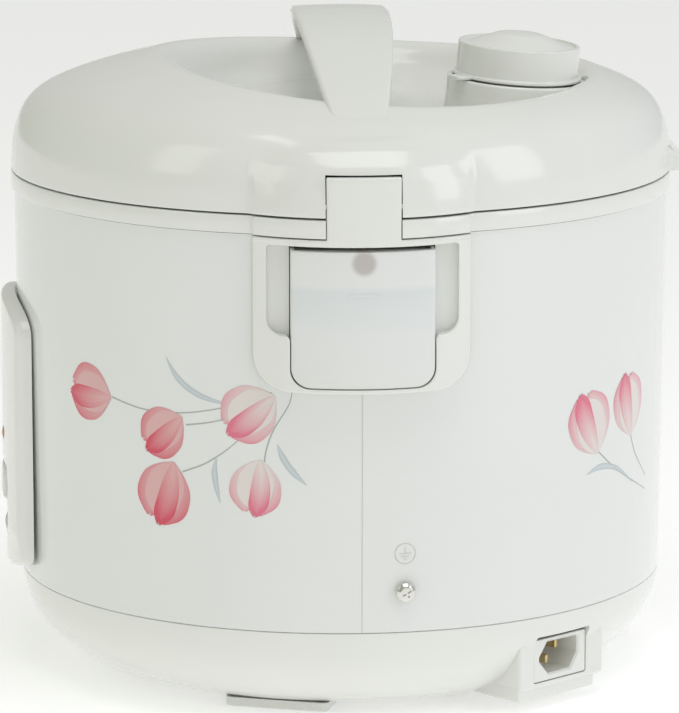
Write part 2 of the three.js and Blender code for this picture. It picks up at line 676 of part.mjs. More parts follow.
function steamCap() {
  const flangeZ = seatTopZ + 0.4;
  const flangeTopZ = flangeZ + 1.6;
  const cap = ventTurned([
    [0, 35], [10, 34], [22, 29.4], [24.9, 28.9], [25.1, 29.9], [26.7, 29.9],
    [26.7, flangeTopZ], [30, flangeTopZ], [30, flangeZ],
    [22, flangeZ], [22, 8], [20.5, 8], [20.5, 27], [10, 31.8], [0, 32.8],
  ]);
  const tab = new THREE.BoxGeometry(10, 8, 1.6);
  tab.translate(-30, 0, flangeZ + 0.8);
  tab.rotateZ(0.9);
  const slotMiddle = 109 * Math.PI / 180;
  const slots = [-1, 0, 1].map((k) => {
    const slot = new THREE.BoxGeometry(3, 9, 12);
    slot.translate(13, 0, 32);
    slot.rotateZ(slotMiddle + k * 0.9);
    return solid(toVent(slot));
  });
  return cut(joined(cap, solid(toVent(tab))), ...slots);
}

function releaseButton() {
  const face = [[0, 227.4], [bossRadius - 0.9, 227.4], [bossRadius - 1.6, 239.5], [0, 239.5]];
  const puck = turned(face, -bossCentreX);
  const block = puck.intersect(slab([-160, -145.5], [-17.8, 17.8], [220, 245]));
  const springRoom = rod(4.6, [-153, 0, 233.5], [-130, 0, 233.5], 20);
  const pusher = slab([-148, latchX - 3], [-6, 6], [227.5, 229.5]);
  return cut(joined(block, pusher), springRoom);
}

function latchSpring() {
  const geometry = coilGeometry(3.4, 0.8, 3.5, 0, 8);
  geometry.rotateY(Math.PI / 2);
  geometry.translate(-148.6, 0, 233.5);
  return solid(geometry);
}

function latchHook() {
  const side = [
    [latchX - 2.2, latchPivotZ + 2.4], [latchX - 2.2, 214], [latchX - 3.8, 212], [latchX - 3.8, 209.5],
    [latchX + 1.2, 206.5], [latchX + 2.2, 209], [latchX + 2.2, latchPivotZ + 2.4],
  ];
  const eye = rod(1.5 + gap, [latchX, -14, latchPivotZ], [latchX, 14, latchPivotZ], 16);
  return cut(alongY(side, -8, 8), eye);
}

function sensorSpring() {
  return solid(coilGeometry(9.6, 1, 4, 62.2, 78.5));
}

// ---- assembly -----------------------------------------------------------------------------------
part("base_shell", baseShell(), whitePlastic);
part("inlet_housing", inletHousing(), whitePlastic);
part("outer_wall", outerWall(), paintedSheet);
part("top_ring", topRing(), whitePlastic);
part("heat_shield", heatShield(), steel);
part("inner_pot", innerPot(), aluminium);
part("heating_plate", heatingPlate(), castAluminium);
part("sensor_cap", sensorCap(), aluminium);
part("sensor_spring", sensorSpring(), steel);
part("sensor_cup", sensorCup(), steel);
part("magnet_rod", magnetRod(), steel);
part("switch_lever", switchLever(), steel);
const leverPinSpot = (x) => [x, leverPivotY, leverPivotZ - 1.2];
part("lever_pin", rod(1.5, leverPinSpot(-11.5), leverPinSpot(11.5), 12), steel);
part("lever_bracket", leverBracket(), steel);
const switchBody = slab([-3, 3], [-90, -70], [30, 43.5]);
const switchPost = slab([-3, 3], [-83, -77], [8, 31]);
part("micro_switch", joined(switchBody, switchPost), darkPlastic);
part("control_panel", controlPanel(), whitePlastic);
part("lever_knob", leverKnob(), whitePlastic);
lampXs.forEach((x, k) => {
  const lens = rod(3, [x, -151.9, lampZ], [x, -146, lampZ], 16);
  part(["lamp_keep_warm", "lamp_cook"][k], lens, [green, amber][k]);
});
part("hinge_bracket", hingeBracket(), whitePlastic);
const hingeSpot = (y) => [hingeX, y, hingeZ];
part("hinge_pin", rod(hingePinRadius, hingeSpot(-hingePinHalf), hingeSpot(hingePinHalf), 16), steel);
part("dew_collector", dewCollector(), frosted);
part("drain_spout", drainSpout(), greyPlastic);
const inlet = inletSocket();
part("inlet_socket", inlet.body, whitePlastic);
inlet.pins.forEach((pin, k) => part(`inlet_pin_${k + 1}`, pin, brass));
const screwHead = joined(
  rod(4.2, at(earthAngle, 145.6, 0, earthZ), at(earthAngle, 147.6, 0, earthZ), 20),
  rod(2.2, at(earthAngle, 136, 0, earthZ), at(earthAngle, 147, 0, earthZ), 12));
part("earth_screw", screwHead, steel);
footAngles.forEach((angle, k) => {
  const pad = blockAt(angle, [footRadius - 9, footRadius + 9], [-23, 23], [0, baseFloorZ - gap]);
  const stud = rod(3, at(angle, footRadius, 0, 2), at(angle, footRadius, 0, 11), 12);
  part(`foot_${k + 1}`, joined(pad, stud), whitePlastic);
});
screwAngles.forEach((angle, k) => {
  const [x, y] = at(angle, screwRadius, 0, 0);
  part(`base_screw_${k + 1}`, pan(x, y, 14), steel);
});
[-16, 16].forEach((x, k) => part(`lever_screw_${k + 1}`, pan(x, leverPivotY, 11.5), steel));

part("lid_shell", lidShell(), whitePlastic);
part("lid_handle", handleStrap(0), whitePlastic);
part("lid_liner", lidLiner(), greyPlastic);
part("inner_lid", innerLid(), aluminium);
part("inner_lid_knob", innerLidKnob(), greyPlastic);
part("lid_gasket", lidGasket(), silicone);
part("steam_seat", steamSeat(), whitePlastic);
part("vent_gasket", ventTurned([[23, 4.4], [27.4, 4.4], [27.4, 7.4], [23, 7.4], [23, 4.4]]), silicone);
part("steam_cap", steamCap(), whitePlastic);
part("release_button", releaseButton(), whitePlastic);
part("latch_spring", latchSpring(), steel);
part("latch_hook", latchHook(), greyPlastic);
part("latch_pin", rod(1.5, [latchX, -12.5, latchPivotZ], [latchX, 12.5, latchPivotZ], 12), steel);

export default cooker;
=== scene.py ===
# Rice cooker: the looks. Metres in Blender, millimetres in the shape code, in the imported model's frame:
# the hinge and the dew collector face +X, the release button faces -X, the control panel faces -Y.
import json
import math

import bmesh
import bpy
import numpy as np
from mathutils import Matrix, Vector
from mathutils.geometry import delaunay_2d_cdt


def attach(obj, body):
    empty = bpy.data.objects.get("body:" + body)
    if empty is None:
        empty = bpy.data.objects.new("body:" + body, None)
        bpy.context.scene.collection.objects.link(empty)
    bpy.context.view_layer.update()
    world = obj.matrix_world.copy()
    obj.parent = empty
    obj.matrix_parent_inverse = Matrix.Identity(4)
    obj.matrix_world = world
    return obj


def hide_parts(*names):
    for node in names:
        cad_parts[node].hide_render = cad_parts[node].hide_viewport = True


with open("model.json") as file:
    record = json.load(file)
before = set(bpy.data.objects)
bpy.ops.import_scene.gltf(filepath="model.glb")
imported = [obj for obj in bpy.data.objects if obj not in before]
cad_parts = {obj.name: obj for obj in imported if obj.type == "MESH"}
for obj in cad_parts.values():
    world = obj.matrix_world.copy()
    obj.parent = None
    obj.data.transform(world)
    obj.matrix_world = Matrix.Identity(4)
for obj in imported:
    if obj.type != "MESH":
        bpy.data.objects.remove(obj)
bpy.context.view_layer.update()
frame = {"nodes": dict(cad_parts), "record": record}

MM = 0.001

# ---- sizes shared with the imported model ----
WALL_TOP_RADIUS = 145.0
WALL_FOOT_RADIUS = 143.3
SHEET = 1.0
BASE_SEAM_Z = 42.5
BASE_FLOOR_Z = 4.4
WALL_TOP_Z = 212.7
RING_BOTTOM_Z = 213.0
RING_TOP_Z = 220.7
RING_RADIUS = 146.2
SEAM_Z = 221.5
LID_TOP_Z = 275.8

BOSS_RADIUS = 75.0
BOSS_CENTRE_X = 81.5
BOSS_HALF = 45.5
TONGUE_HALF = 15.5
TONGUE_TOP_Z = 238.5
BRACKET_BOTTOM_Z = 147.9
BRACKET_TOP_Z = 212.4
ROOM_HALF = 30.4
ROOM_BOTTOM_Z = 149.6
ROOM_BACK_X = 133.0
POCKET_HALF = 40.0
POCKET_BOTTOM_Z = 171.5
POCKET_TOP_Z = 209.5
POCKET_BACK_X = 142.0
COLLECTOR_HALF = 30.0
COLLECTOR_BOTTOM_Z = 150.0
COLLECTOR_TOP_Z = 207.5
COLLECTOR_RADIUS = 74.5
CUP_TOP_Z = 193.5

PANEL_HALF = 46.0
PANEL_RADIUS = 151.6
PANEL_FOOT_RADIUS = 150.4
DISH_RADIUS = 149.6
LAMP_XS = (-12.0, 12.0)
LAMP_Z = 103.5

RECESS_FLOOR_Z = 248.0
RECESS_CENTRE_Y = 18.0
RECESS_HALF = (100.0, 80.0)
RECESS_FLARE = 20.0 / 37.0
HANDLE_TOP_Z = 290.5
HANDLE_DROP = 0.00199
HANDLE_REACH = 129.0
HANDLE_HALF = 21.1
HANDLE_TAPER = 187.0
HANDLE_THICKNESS = 4.5

VENT_DISTANCE = 79.2
VENT_ANGLE = math.radians(70.3)
SEAT_TOP_Z = 14.5
FLANGE_Z = SEAT_TOP_Z + 0.4
VENT_TILT = math.radians(4)
SLOT_MIDDLE = math.radians(109)
SLOT_PITCH = 0.9

SPOUT_Z = 202.9

INLET_ANGLE = math.radians(40)
INLET_FACE_U = 138.5
INLET_PINS = ((-7.4, 25.0), (4.2, 25.0), (-1.6, 19.0))

FOOT_ANGLES = [math.radians(a) for a in (-18, 72, 162, 252)]
FOOT_RADIUS = 103.0
HOOK_SLOT = (-8.6, 8.6)
EARTH_ANGLE = math.radians(7.3)
EARTH_Z = 60.5

# ---- outlines and profiles ----
SMOOTH_ANGLE = math.radians(32)
FULL_TURN = 256


def rounded_outline(corners, grow=0.0, arc=8, side=6):
    """A counter-clockwise outline of (a, b, radius) corners, grown outwards, always with as many points."""
    count = len(corners)
    spots = np.array([c[:2] for c in corners], float)
    along = np.roll(spots, -1, axis=0) - spots
    along /= np.linalg.norm(along, axis=1)[:, None]
    arcs = []
    for i in range(count):
        before, after = along[i - 1], along[i]
        out = np.array([before[1] + after[1], -before[0] - after[0]])
        corner = spots[i] + grow * out / (1 + before @ after)
        turn = math.atan2(before[0] * after[1] - before[1] * after[0], before @ after)
        bend = math.copysign(1, turn)
        radius = max(corners[i][2] + bend * grow, 0.02)
        start = corner - before * radius * math.tan(abs(turn) / 2)
        centre = start + bend * radius * np.array([-before[1], before[0]])
        arcs.append([rotate(start - centre, turn * k / arc) + centre for k in range(arc + 1)])
    points = []
    for i in range(count):
        points.extend(arcs[i])
        here, there = arcs[i][-1], arcs[(i + 1) % count][0]
        points.extend(here + (there - here) * k / (side + 1) for k in range(1, side + 1))
    return np.array(points)


def rectangle(a, b, radius):
    """The corners of a rectangle, from its (low, high) reach along a and along b."""
    return [(a[0], b[0], radius), (a[1], b[0], radius), (a[1], b[1], radius), (a[0], b[1], radius)]


def symmetric(right):
    """The corners of an outline that is alike on both sides, from its right half's, the lowest first."""
    left = [(-a, b, radius) for a, b, radius in right[::-1]]
    return [left[-1], *right, *left[:-1]]


def rotate(v, angle):
    c, s = math.cos(angle), math.sin(angle)
    return np.array([c * v[0] - s * v[1], s * v[0] + c * v[1]])


def offset_curve(points, grow):
    """A closed counter-clockwise curve moved outwards along its normals."""
    ahead = np.roll(points, -1, axis=0) - np.roll(points, 1, axis=0)
    ahead /= np.linalg.norm(ahead, axis=1)[:, None]
    return points + grow * np.stack([ahead[:, 1], -ahead[:, 0]], axis=1)


def fillet_profile(corners, steps=5):
    """An open (r, z) profile whose corners (r, z, radius) are rounded; radius 0 keeps the corner."""
    points = []
    last = len(corners) - 1
    for i, (r, z, radius) in enumerate(corners):
        here = np.array([r, z], float)
        if radius == 0 or i in (0, last):
            points.append(here)
            continue
        before = here - np.array(corners[i - 1][:2], float)
        after = np.array(corners[i + 1][:2], float) - here
        reach = min(np.linalg.norm(before), np.linalg.norm(after)) * 0.49
        before /= np.linalg.norm(before)
        after /= np.linalg.norm(after)
        turn = math.atan2(before[0] * after[1] - before[1] * after[0], before @ after)
        tangent = min(radius * abs(math.tan(turn / 2)), reach)
        start, end = here - before * tangent, here + after * tangent
        for k in range(steps + 1):
            t = k / steps
            points.append((1 - t) ** 2 * start + 2 * t * (1 - t) * here + t * t * end)
    return np.array(points)


def spline(points, steps):
    """A Catmull-Rom curve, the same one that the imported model's lid uses."""
    points = np.array(points, float)
    spans = len(points) - 1
    curve = []
    for k in range(steps + 1):
        place = k / steps * spans
        i = min(int(place), spans - 1)
        t = place - i
        p0 = points[max(i - 1, 0)]
        p1, p2 = points[i], points[i + 1]
        p3 = points[min(i + 2, spans)]
        v0, v1 = (p2 - p0) / 2, (p3 - p1) / 2
        cubic = (2 * p1 - 2 * p2 + v0 + v1) * t ** 3 + (-3 * p1 + 3 * p2 - 2 * v0 - v1) * t ** 2
        curve.append(cubic + v0 * t + p1)
    return np.array(curve)


def bezier(a, b, c, steps):
    t = np.linspace(0, 1, steps + 1)[:, None]
    a, b, c = (np.array(p, float) for p in (a, b, c))
    return (1 - t) ** 2 * a + 2 * t * (1 - t) * b + t * t * c


def quarter(radius, steps=5):
    """Stations of a rounded edge: (grow, depth) from the face down onto the side."""
    angles = np.linspace(0, math.pi / 2, steps + 1)
    return [(radius * (math.sin(a) - 1), radius * (1 - math.cos(a))) for a in angles]


# ---- mesh parts: every shape is a pair (vertices in mm, faces) ----
def lathe(profile, segments=FULL_TURN):
    """Turns an (r, z) profile about the Z axis. Points on the axis become one vertex."""
    angles = np.arange(segments) * 2 * math.pi / segments
    rings, verts = [], []
    for r, z in profile:
        start = len(verts)
        if r < 1e-6:
            verts.append((0, 0, z))
            rings.append([start] * segments)
        else:
            verts.extend((r * math.cos(a), r * math.sin(a), z) for a in angles)
            rings.append(list(range(start, start + segments)))
    return verts, bands(rings)


def rod(radius, low, high, segments):
    return lathe([(0, low), (radius, low), (radius, high), (0, high)], segments)


def bands(rings):
    faces = []
    for low, high in zip(rings, rings[1:]):
        count = len(low)
        for i in range(count):
            j = (i + 1) % count
            face = [low[i], low[j], high[j], high[i]]
            face = [v for k, v in enumerate(face) if v != face[k - 1]]
            if len(face) > 2:
                faces.append(face)
    return faces


def cells(rows, cols):
    """The faces of a grid of points that is listed row by row."""
    corners = [i * cols + j for i in range(rows - 1) for j in range(cols - 1)]
    return [[k, k + 1, k + cols + 1, k + cols] for k in corners]


def loft(rings, cap_start=True, cap_end=True):
    """Skins closed rings with the same number of points. A cap is one flat face."""
    count = len(rings[0])
    verts = [tuple(p) for ring in rings for p in ring]
    index = [list(range(k * count, (k + 1) * count)) for k in range(len(rings))]
    faces = bands(index)
    if cap_start:
        faces.append(index[0][::-1])
    if cap_end:
        faces.append(index[-1])
    return verts, faces


def inside(points, outline):
    """Which 2D points lie inside a closed outline."""
    x, y = points[:, 0][:, None], points[:, 1][:, None]
    a, b = outline, np.roll(outline, -1, axis=0)
    crosses = (a[:, 1] > y) != (b[:, 1] > y)
    slope = (b[:, 0] - a[:, 0]) / np.where(b[:, 1] == a[:, 1], 1e-12, b[:, 1] - a[:, 1])
    return (crosses & (x < slope * (y - a[:, 1]) + a[:, 0])).sum(1) % 2 == 1


def filled(outline, holes=(), spacing=3.0):
    """Triangles over a 2D outline with holes, with inner points so that it can be bent."""
    loops = [np.asarray(outline), *(np.asarray(h) for h in holes)]
    low, high = loops[0].min(0), loops[0].max(0)
    steps = np.maximum(((high - low) / spacing).astype(int), 1)
    axes = [np.linspace(low[k], high[k], steps[k] + 2)[1:-1] for k in (0, 1)]
    grid = np.array([(a, b) for a in axes[0] for b in axes[1]])
    keep = inside(grid, loops[0])
    for hole in loops[1:]:
        keep &= ~inside(grid, hole)
    for loop in loops:
        clear = np.linalg.norm(grid[:, None] - loop[None], axis=2).min(1) > spacing * 0.35
        keep &= clear
    points, edges = [], []
    for loop in loops:
        start = len(points)
        points.extend(Vector(p) for p in loop)
        edges.extend((start + i, start + (i + 1) % len(loop)) for i in range(len(loop)))
    points.extend(Vector(p) for p in grid[keep])
    flat, _, triangles, *_ = delaunay_2d_cdt(points, edges, [], 0, 1e-6)
    flat = np.array([tuple(p) for p in flat])
    middles = np.array([flat[list(t)].mean(0) for t in triangles])
    good = inside(middles, loops[0])
    for hole in loops[1:]:
        good &= ~inside(middles, hole)
    return flat, [list(t) for t, ok in zip(triangles, good) if ok]


def plate(outline, holes, spot, spacing=3.0):
    """A filled outline placed in space by spot(a, b)."""
    flat, faces = filled(outline, holes, spacing)
    return [spot(a, b) for a, b in flat], faces


def gathered(*shapes):
    verts, faces = [], []
    for more_verts, more_faces in shapes:
        start = len(verts)
        verts.extend(tuple(v) for v in more_verts)
        faces.extend([[start + i for i in face] for face in more_faces])
    return verts, faces


def moved(shape, matrix):
    verts, faces = shape
    spots = np.array(verts, float)
    spots = spots @ np.array(matrix.to_3x3()).T + np.array(matrix.translation)
    return [tuple(v) for v in spots], faces


def pillow(outline_at, spot, depth, edge, steps=4, back_edge=0.0):
    """A rounded plug: outline_at(grow) gives its outline, spot(a, b, depth) puts a point in space."""
    stations = quarter(edge, steps) + [(0.0, depth - back_edge)]
    if back_edge:
        stations += [(g, depth - d) for g, d in reversed(quarter(back_edge, steps))][1:]
    rings = [[spot(a, b, d) for a, b in outline_at(g)] for g, d in stations]
    skin = loft(rings, False, False)
    face_grow, back_grow = stations[0][0], stations[-1][0]
    front = plate(outline_at(face_grow), (), lambda a, b: spot(a, b, stations[0][1]))
    back = plate(outline_at(back_grow), (), lambda a, b: spot(a, b, depth))
    return gathered(skin, front, back)


def box_shape(x, y, z):
    verts = [(a, b, c) for a in x for b in y for c in z]
    faces = [(0, 1, 3, 2), (4, 6, 7, 5), (0, 4, 5, 1), (2, 3, 7, 6), (0, 2, 6, 4), (1, 5, 7, 3)]
    return verts, [list(f) for f in faces]


def tube(path, radius, sides=12):
    """A round tube along a list of points, with closed ends."""
    path = np.array(path, float)
    rings = []
    up = np.array([0.0, 0.0, 1.0])
    for i, p in enumerate(path):
        ahead = path[min(i + 1, len(path) - 1)] - path[max(i - 1, 0)]
        ahead /= np.linalg.norm(ahead)
        side = np.cross(ahead, up if abs(ahead @ up) < 0.95 else (1.0, 0.0, 0.0))
        side /= np.linalg.norm(side)
        over = np.cross(side, ahead)
        turns = [2 * math.pi * k / sides for k in range(sides)]
        rings.append([p + radius * (math.cos(t) * side + math.sin(t) * over) for t in turns])
    return loft(rings)


# ---- frames of reference ----
def at(angle, u, v, z):
    """A point outwards u, sideways v and up z at a plan angle."""
    return (u * math.cos(angle) - v * math.sin(angle), u * math.sin(angle) + v * math.cos(angle), z)


VENT_FRAME = (Matrix.Translation(at(VENT_ANGLE, VENT_DISTANCE, 0, RECESS_FLOOR_Z))
              @ Matrix.Rotation(VENT_ANGLE, 4, "Z") @ Matrix.Rotation(VENT_TILT, 4, "Y"))


def boss_x(y, radius=BOSS_RADIUS):
    """Where the front of the hinge boss lies at y."""
    return BOSS_CENTRE_X + math.sqrt(radius ** 2 - y ** 2)


def wall_x(y, radius=WALL_TOP_RADIUS + 0.2):
    return math.sqrt(radius ** 2 - y ** 2)


def wall_radius(z):
    share = (z - BASE_SEAM_Z) / (WALL_TOP_Z - BASE_SEAM_Z)
    return WALL_FOOT_RADIUS + (WALL_TOP_RADIUS - WALL_FOOT_RADIUS) * share


# ---- pieces ----
def mesh_of(name, shape):
    verts, faces = shape
    mesh = bpy.data.meshes.new(name)
    mesh.from_pydata([tuple(c * MM for c in v) for v in verts], [], faces)
    work = bmesh.new()
    work.from_mesh(mesh)
    bmesh.ops.remove_doubles(work, verts=work.verts, dist=0.004 * MM)
    bmesh.ops.dissolve_degenerate(work, edges=work.edges, dist=0.001 * MM)
    bmesh.ops.recalc_face_normals(work, faces=work.faces)
    work.to_mesh(mesh)
    work.free()
    return mesh


def carve(start, *tools, operation="DIFFERENCE"):
    """Cuts tools, which are shapes, from a shape or a finished mesh, or adds them to it."""
    mesh = start if isinstance(start, bpy.types.Mesh) else mesh_of("carved", start)
    holder = bpy.data.objects.new("carved", mesh)
    bpy.context.collection.objects.link(holder)
    helpers = []
    for shape in tools:
        helper = bpy.data.objects.new("tool", mesh_of("tool", shape))
        bpy.context.collection.objects.link(helper)
        helpers.append(helper)
        modifier = holder.modifiers.new("carve", "BOOLEAN")
        modifier.operation = operation
        modifier.solver = "EXACT"
        modifier.object = helper
    shaped = holder.evaluated_get(bpy.context.evaluated_depsgraph_get())
    result = bpy.data.meshes.new_from_object(shaped)
    for item in (holder, *helpers):
        data = item.data
        bpy.data.objects.remove(item)
        if data.users == 0:
            bpy.data.meshes.remove(data)
    return result


def piece(name, shape, body, slot, *replaced, finish=None):
    """Makes a shown piece from a shape or a finished mesh, with its slot's finish unless another is given."""
    mesh = shape if isinstance(shape, bpy.types.Mesh) else mesh_of(name, shape)
    mesh.name = name
    mesh.polygons.foreach_set("use_smooth", [True] * len(mesh.polygons))
    mesh.set_sharp_from_angle(angle=SMOOTH_ANGLE)
    mesh.materials.clear()
    mesh.materials.append(FINISHES[finish or slot])
    thing = bpy.data.objects.new(name, mesh)
    bpy.context.scene.collection.objects.link(thing)
    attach(thing, body)
    if replaced:
        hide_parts(*replaced)


# ---- materials ----
FINISHES = {}


def add_node(tree, kind, values=None, sources=None, **settings):
    """Adds a shader node, with its socket values and the outputs that feed its sockets."""
    node = tree.nodes.new(kind)
    for name, value in settings.items():
        setattr(node, name, value)
    for socket, value in (values or {}).items():
        node.inputs[socket].default_value = value
    for socket, source in (sources or {}).items():
        tree.links.new(source, node.inputs[socket])
    return node


def surface(name, colours, roughness, grain, *, metallic=0.0, sockets=None, cloud=18.0, colour_by=None):
    """A procedural finish. colours are (base, variation); grain is (size per metre, height in metres)."""
    spread = 0.03
    material = bpy.data.materials.new(name)
    material.use_nodes = True
    tree = material.node_tree
    shader = tree.nodes["Principled BSDF"]
    place = tree.nodes.new("ShaderNodeTexCoord").outputs["Object"]

    def noise(scale, detail):
        node = add_node(tree, "ShaderNodeTexNoise", {"Scale": scale, "Detail": detail}, {"Vector": place})
        return node.outputs["Fac"]

    if colour_by is None:
        mix = add_node(tree, "ShaderNodeMix", data_type="RGBA")
        mix.inputs["A"].default_value = (*colours[0], 1)
        mix.inputs["B"].default_value = (*colours[1], 1)
        tree.links.new(noise(cloud, 3), mix.inputs["Factor"])
        tree.links.new(mix.outputs["Result"], shader.inputs["Base Color"])
    else:
        colour_by(tree, place, shader)
    limits = {"To Min": max(roughness - spread, 0.02), "To Max": roughness + spread}
    polish = add_node(tree, "ShaderNodeMapRange", limits, {"Value": noise(grain[0] * 0.2, 4)})
    tree.links.new(polish.outputs["Result"], shader.inputs["Roughness"])
    bump = add_node(tree, "ShaderNodeBump", {"Distance": grain[1], "Strength": 1.0},
                    {"Height": noise(grain[0], 2)})
    tree.links.new(bump.outputs["Normal"], shader.inputs["Normal"])
    shader.inputs["Metallic"].default_value = metallic
    for socket, value in (sockets or {}).items():
        shader.inputs[socket].default_value = value
    FINISHES[name] = material


def printed_colour(tree, place, shader):
    """Takes the colour from the mesh, for the ink of the print."""
    ink = add_node(tree, "ShaderNodeVertexColor", layer_name="ink")
    tree.links.new(ink.outputs["Color"], shader.inputs["Base Color"])


def frosted_colour(tree, place, shader):
    """Frosted plastic with painted shade: greyer in a band just under the cup's top, where the hollow cup
    lies behind its front, and brownish before the drain spout.
    """
    split = add_node(tree, "ShaderNodeSeparateXYZ", sources={"Vector": place})
    # painted shade by height: darkest just under the cup's top, lighter above it
    shade_levels = ((COLLECTOR_BOTTOM_Z, (0.84, 0.85, 0.83)), (172, (0.83, 0.845, 0.835)),
              (CUP_TOP_Z - 3, (0.77, 0.80, 0.81)), (CUP_TOP_Z, (0.84, 0.85, 0.84)),
              (COLLECTOR_TOP_Z, (0.83, 0.835, 0.825)))
    low, high = shade_levels[0][0], shade_levels[-1][0]
    share = add_node(tree, "ShaderNodeMapRange", {"From Min": low * MM, "From Max": high * MM},
                     {"Value": split.outputs["Z"]})
    shade_by_height = add_node(tree, "ShaderNodeValToRGB", sources={"Fac": share.outputs["Result"]})
    stops = shade_by_height.color_ramp.elements
    while len(stops) < len(shade_levels):
        stops.new(0.5)
    for stop, (z, colour) in zip(stops, shade_levels):
        stop.position = (z - low) / (high - low)
        stop.color = (*colour, 1)
    flat = add_node(tree, "ShaderNodeCombineXYZ", sources={"Y": split.outputs["Y"], "Z": split.outputs["Z"]})
    away = add_node(tree, "ShaderNodeVectorMath", {1: (0, 0, SPOUT_Z * MM)}, {0: flat.outputs["Vector"]},
                    operation="DISTANCE")
    near = add_node(tree, "ShaderNodeMapRange", {"From Min": 0.0064, "From Max": 0.0034, "To Max": 0.6},
                    {"Value": away.outputs["Value"]}, interpolation_type="SMOOTHSTEP")
    mix = add_node(tree, "ShaderNodeMix", data_type="RGBA")
    mix.inputs["B"].default_value = (0.38, 0.32, 0.30, 1)
    tree.links.new(near.outputs["Result"], mix.inputs["Factor"])
    tree.links.new(shade_by_height.outputs["Color"], mix.inputs["A"])
    tree.links.new(mix.outputs["Result"], shader.inputs["Base Color"])


surface("white_gloss", ((0.79, 0.80, 0.765), (0.83, 0.835, 0.805)), 0.16, (350, 2.2e-6),
        sockets={"Coat Weight": 0.35, "Coat Roughness": 0.04, "Specular IOR Level": 0.5})
surface("painted_sheet", ((0.78, 0.795, 0.775), (0.82, 0.83, 0.82)), 0.13, (700, 1.2e-6),
        sockets={"Coat Weight": 0.6, "Coat Roughness": 0.03})
surface("grey_plastic", ((0.60, 0.60, 0.57), (0.64, 0.64, 0.61)), 0.36, (900, 8e-6))
surface("frosted_plastic", None, 0.30, (800, 5e-6), colour_by=frosted_colour,
        sockets={"Transmission Weight": 0.05, "IOR": 1.49})
surface("silicone", ((0.55, 0.56, 0.54), (0.60, 0.61, 0.59)), 0.62, (600, 2e-5))
surface("pot_aluminium", ((0.62, 0.63, 0.64), (0.70, 0.71, 0.72)), 0.33, (1500, 1e-5), metallic=1.0)
surface("cast_aluminium", ((0.50, 0.51, 0.52), (0.60, 0.61, 0.62)), 0.52, (500, 6e-5), metallic=1.0)
surface("sheet_steel", ((0.55, 0.56, 0.57), (0.63, 0.64, 0.65)), 0.34, (1200, 1e-5), metallic=1.0)
surface("bright_steel", ((0.68, 0.67, 0.63), (0.76, 0.75, 0.72)), 0.20, (1500, 6e-6), metallic=1.0)
surface("brass_contact", ((0.66, 0.52, 0.26), (0.74, 0.60, 0.33)), 0.30, (1200, 1e-5), metallic=1.0)
surface("black_plastic", ((0.035, 0.035, 0.036), (0.05, 0.05, 0.05)), 0.45, (900, 1.5e-5))
surface("amber_lens", ((0.80, 0.33, 0.05), (0.85, 0.40, 0.08)), 0.12, (400, 4e-6),
        sockets={"Transmission Weight": 0.3, "Coat Weight": 0.5})
surface("green_lens", ((0.20, 0.50, 0.16), (0.26, 0.56, 0.22)), 0.12, (400, 4e-6),
        sockets={"Transmission Weight": 0.3, "Coat Weight": 0.5})
surface("spout_plastic", ((0.42, 0.35, 0.32), (0.50, 0.43, 0.40)), 0.4, (900, 8e-6))
surface("print_ink", None, 0.16, (700, 1.2e-6), colour_by=printed_colour,
        sockets={"Coat Weight": 0.5, "Coat Roughness": 0.03})
surface("symbol_ink", ((0.62, 0.63, 0.61), (0.68, 0.69, 0.67)), 0.3, (900, 2e-6))
surface("floor", ((0.93, 0.93, 0.93), (0.95, 0.95, 0.95)), 0.6, (300, 2e-6), cloud=3.0,
        sockets={"Emission Color": (1, 1, 1, 1), "Emission Strength": 0.3})

# ---- the round body ----
def wall_shape():
    """The painted sheet, lapped in one upright seam under the hinge bracket."""
    groove_half, groove_depth = 0.28, 0.4
    near_seam = (-0.9, -0.5, -groove_half, -0.15, 0.15, groove_half, 0.5, 0.9)
    fine = [math.asin(y / WALL_TOP_RADIUS) for y in near_seam]
    margin = math.radians(0.8)
    coarse = np.linspace(margin, 2 * math.pi - margin, FULL_TURN)
    angles = np.concatenate([fine, coarse])
    rise = np.linspace(BASE_SEAM_Z + 0.3, WALL_TOP_Z, 12)
    outer = [(wall_radius(z), z, True) for z in rise]
    inner = [(wall_radius(z) - SHEET, z, False) for z in rise[::-1]]
    rings = []
    for r, z, shown in outer + inner + outer[:1]:
        dip = [groove_depth if shown and abs(a) < 0.2 / WALL_TOP_RADIUS else 0 for a in angles]
        rings.append([((r - d) * math.cos(a), (r - d) * math.sin(a), z) for a, d in zip(angles, dip)])
    return loft(rings, False, False)


wall = carve(
    wall_shape(),
    box_shape((120, 160), (-42.3, 42.3), (174.5, 211.2)), box_shape((120, 160), (-32.2, 32.2), (150.3, 176)),
    box_shape((-12, 12), (-160, -120), (62, 90)))
piece("outer_wall_smooth", wall, "root", "painted_sheet", "outer_wall")

BOWL = bezier((WALL_FOOT_RADIUS, BASE_SEAM_Z), (140.6, 10.7), (100.3, 1.0), 40)
bowl_outside = [(r, z) for r, z in BOWL if z > BASE_FLOOR_Z + 0.2]
bowl_inside = [(r - 2.5, z + 1.5) for r, z in bowl_outside[2:] if r > 100]


BLOCK_BACK_U = 104


def block_spot(face_u):
    """Points of the inlet block: a is sideways, b is up, depth goes inwards from the face."""
    return lambda a, b, depth: at(INLET_ANGLE, face_u - depth, a, b)


def inlet_block(face_u, v, z, radius, edge):
    corners = rectangle(v, z, radius)
    depth = face_u - BLOCK_BACK_U
    return pillow(lambda g: rounded_outline(corners, g, 5, 4), block_spot(face_u), depth, edge)


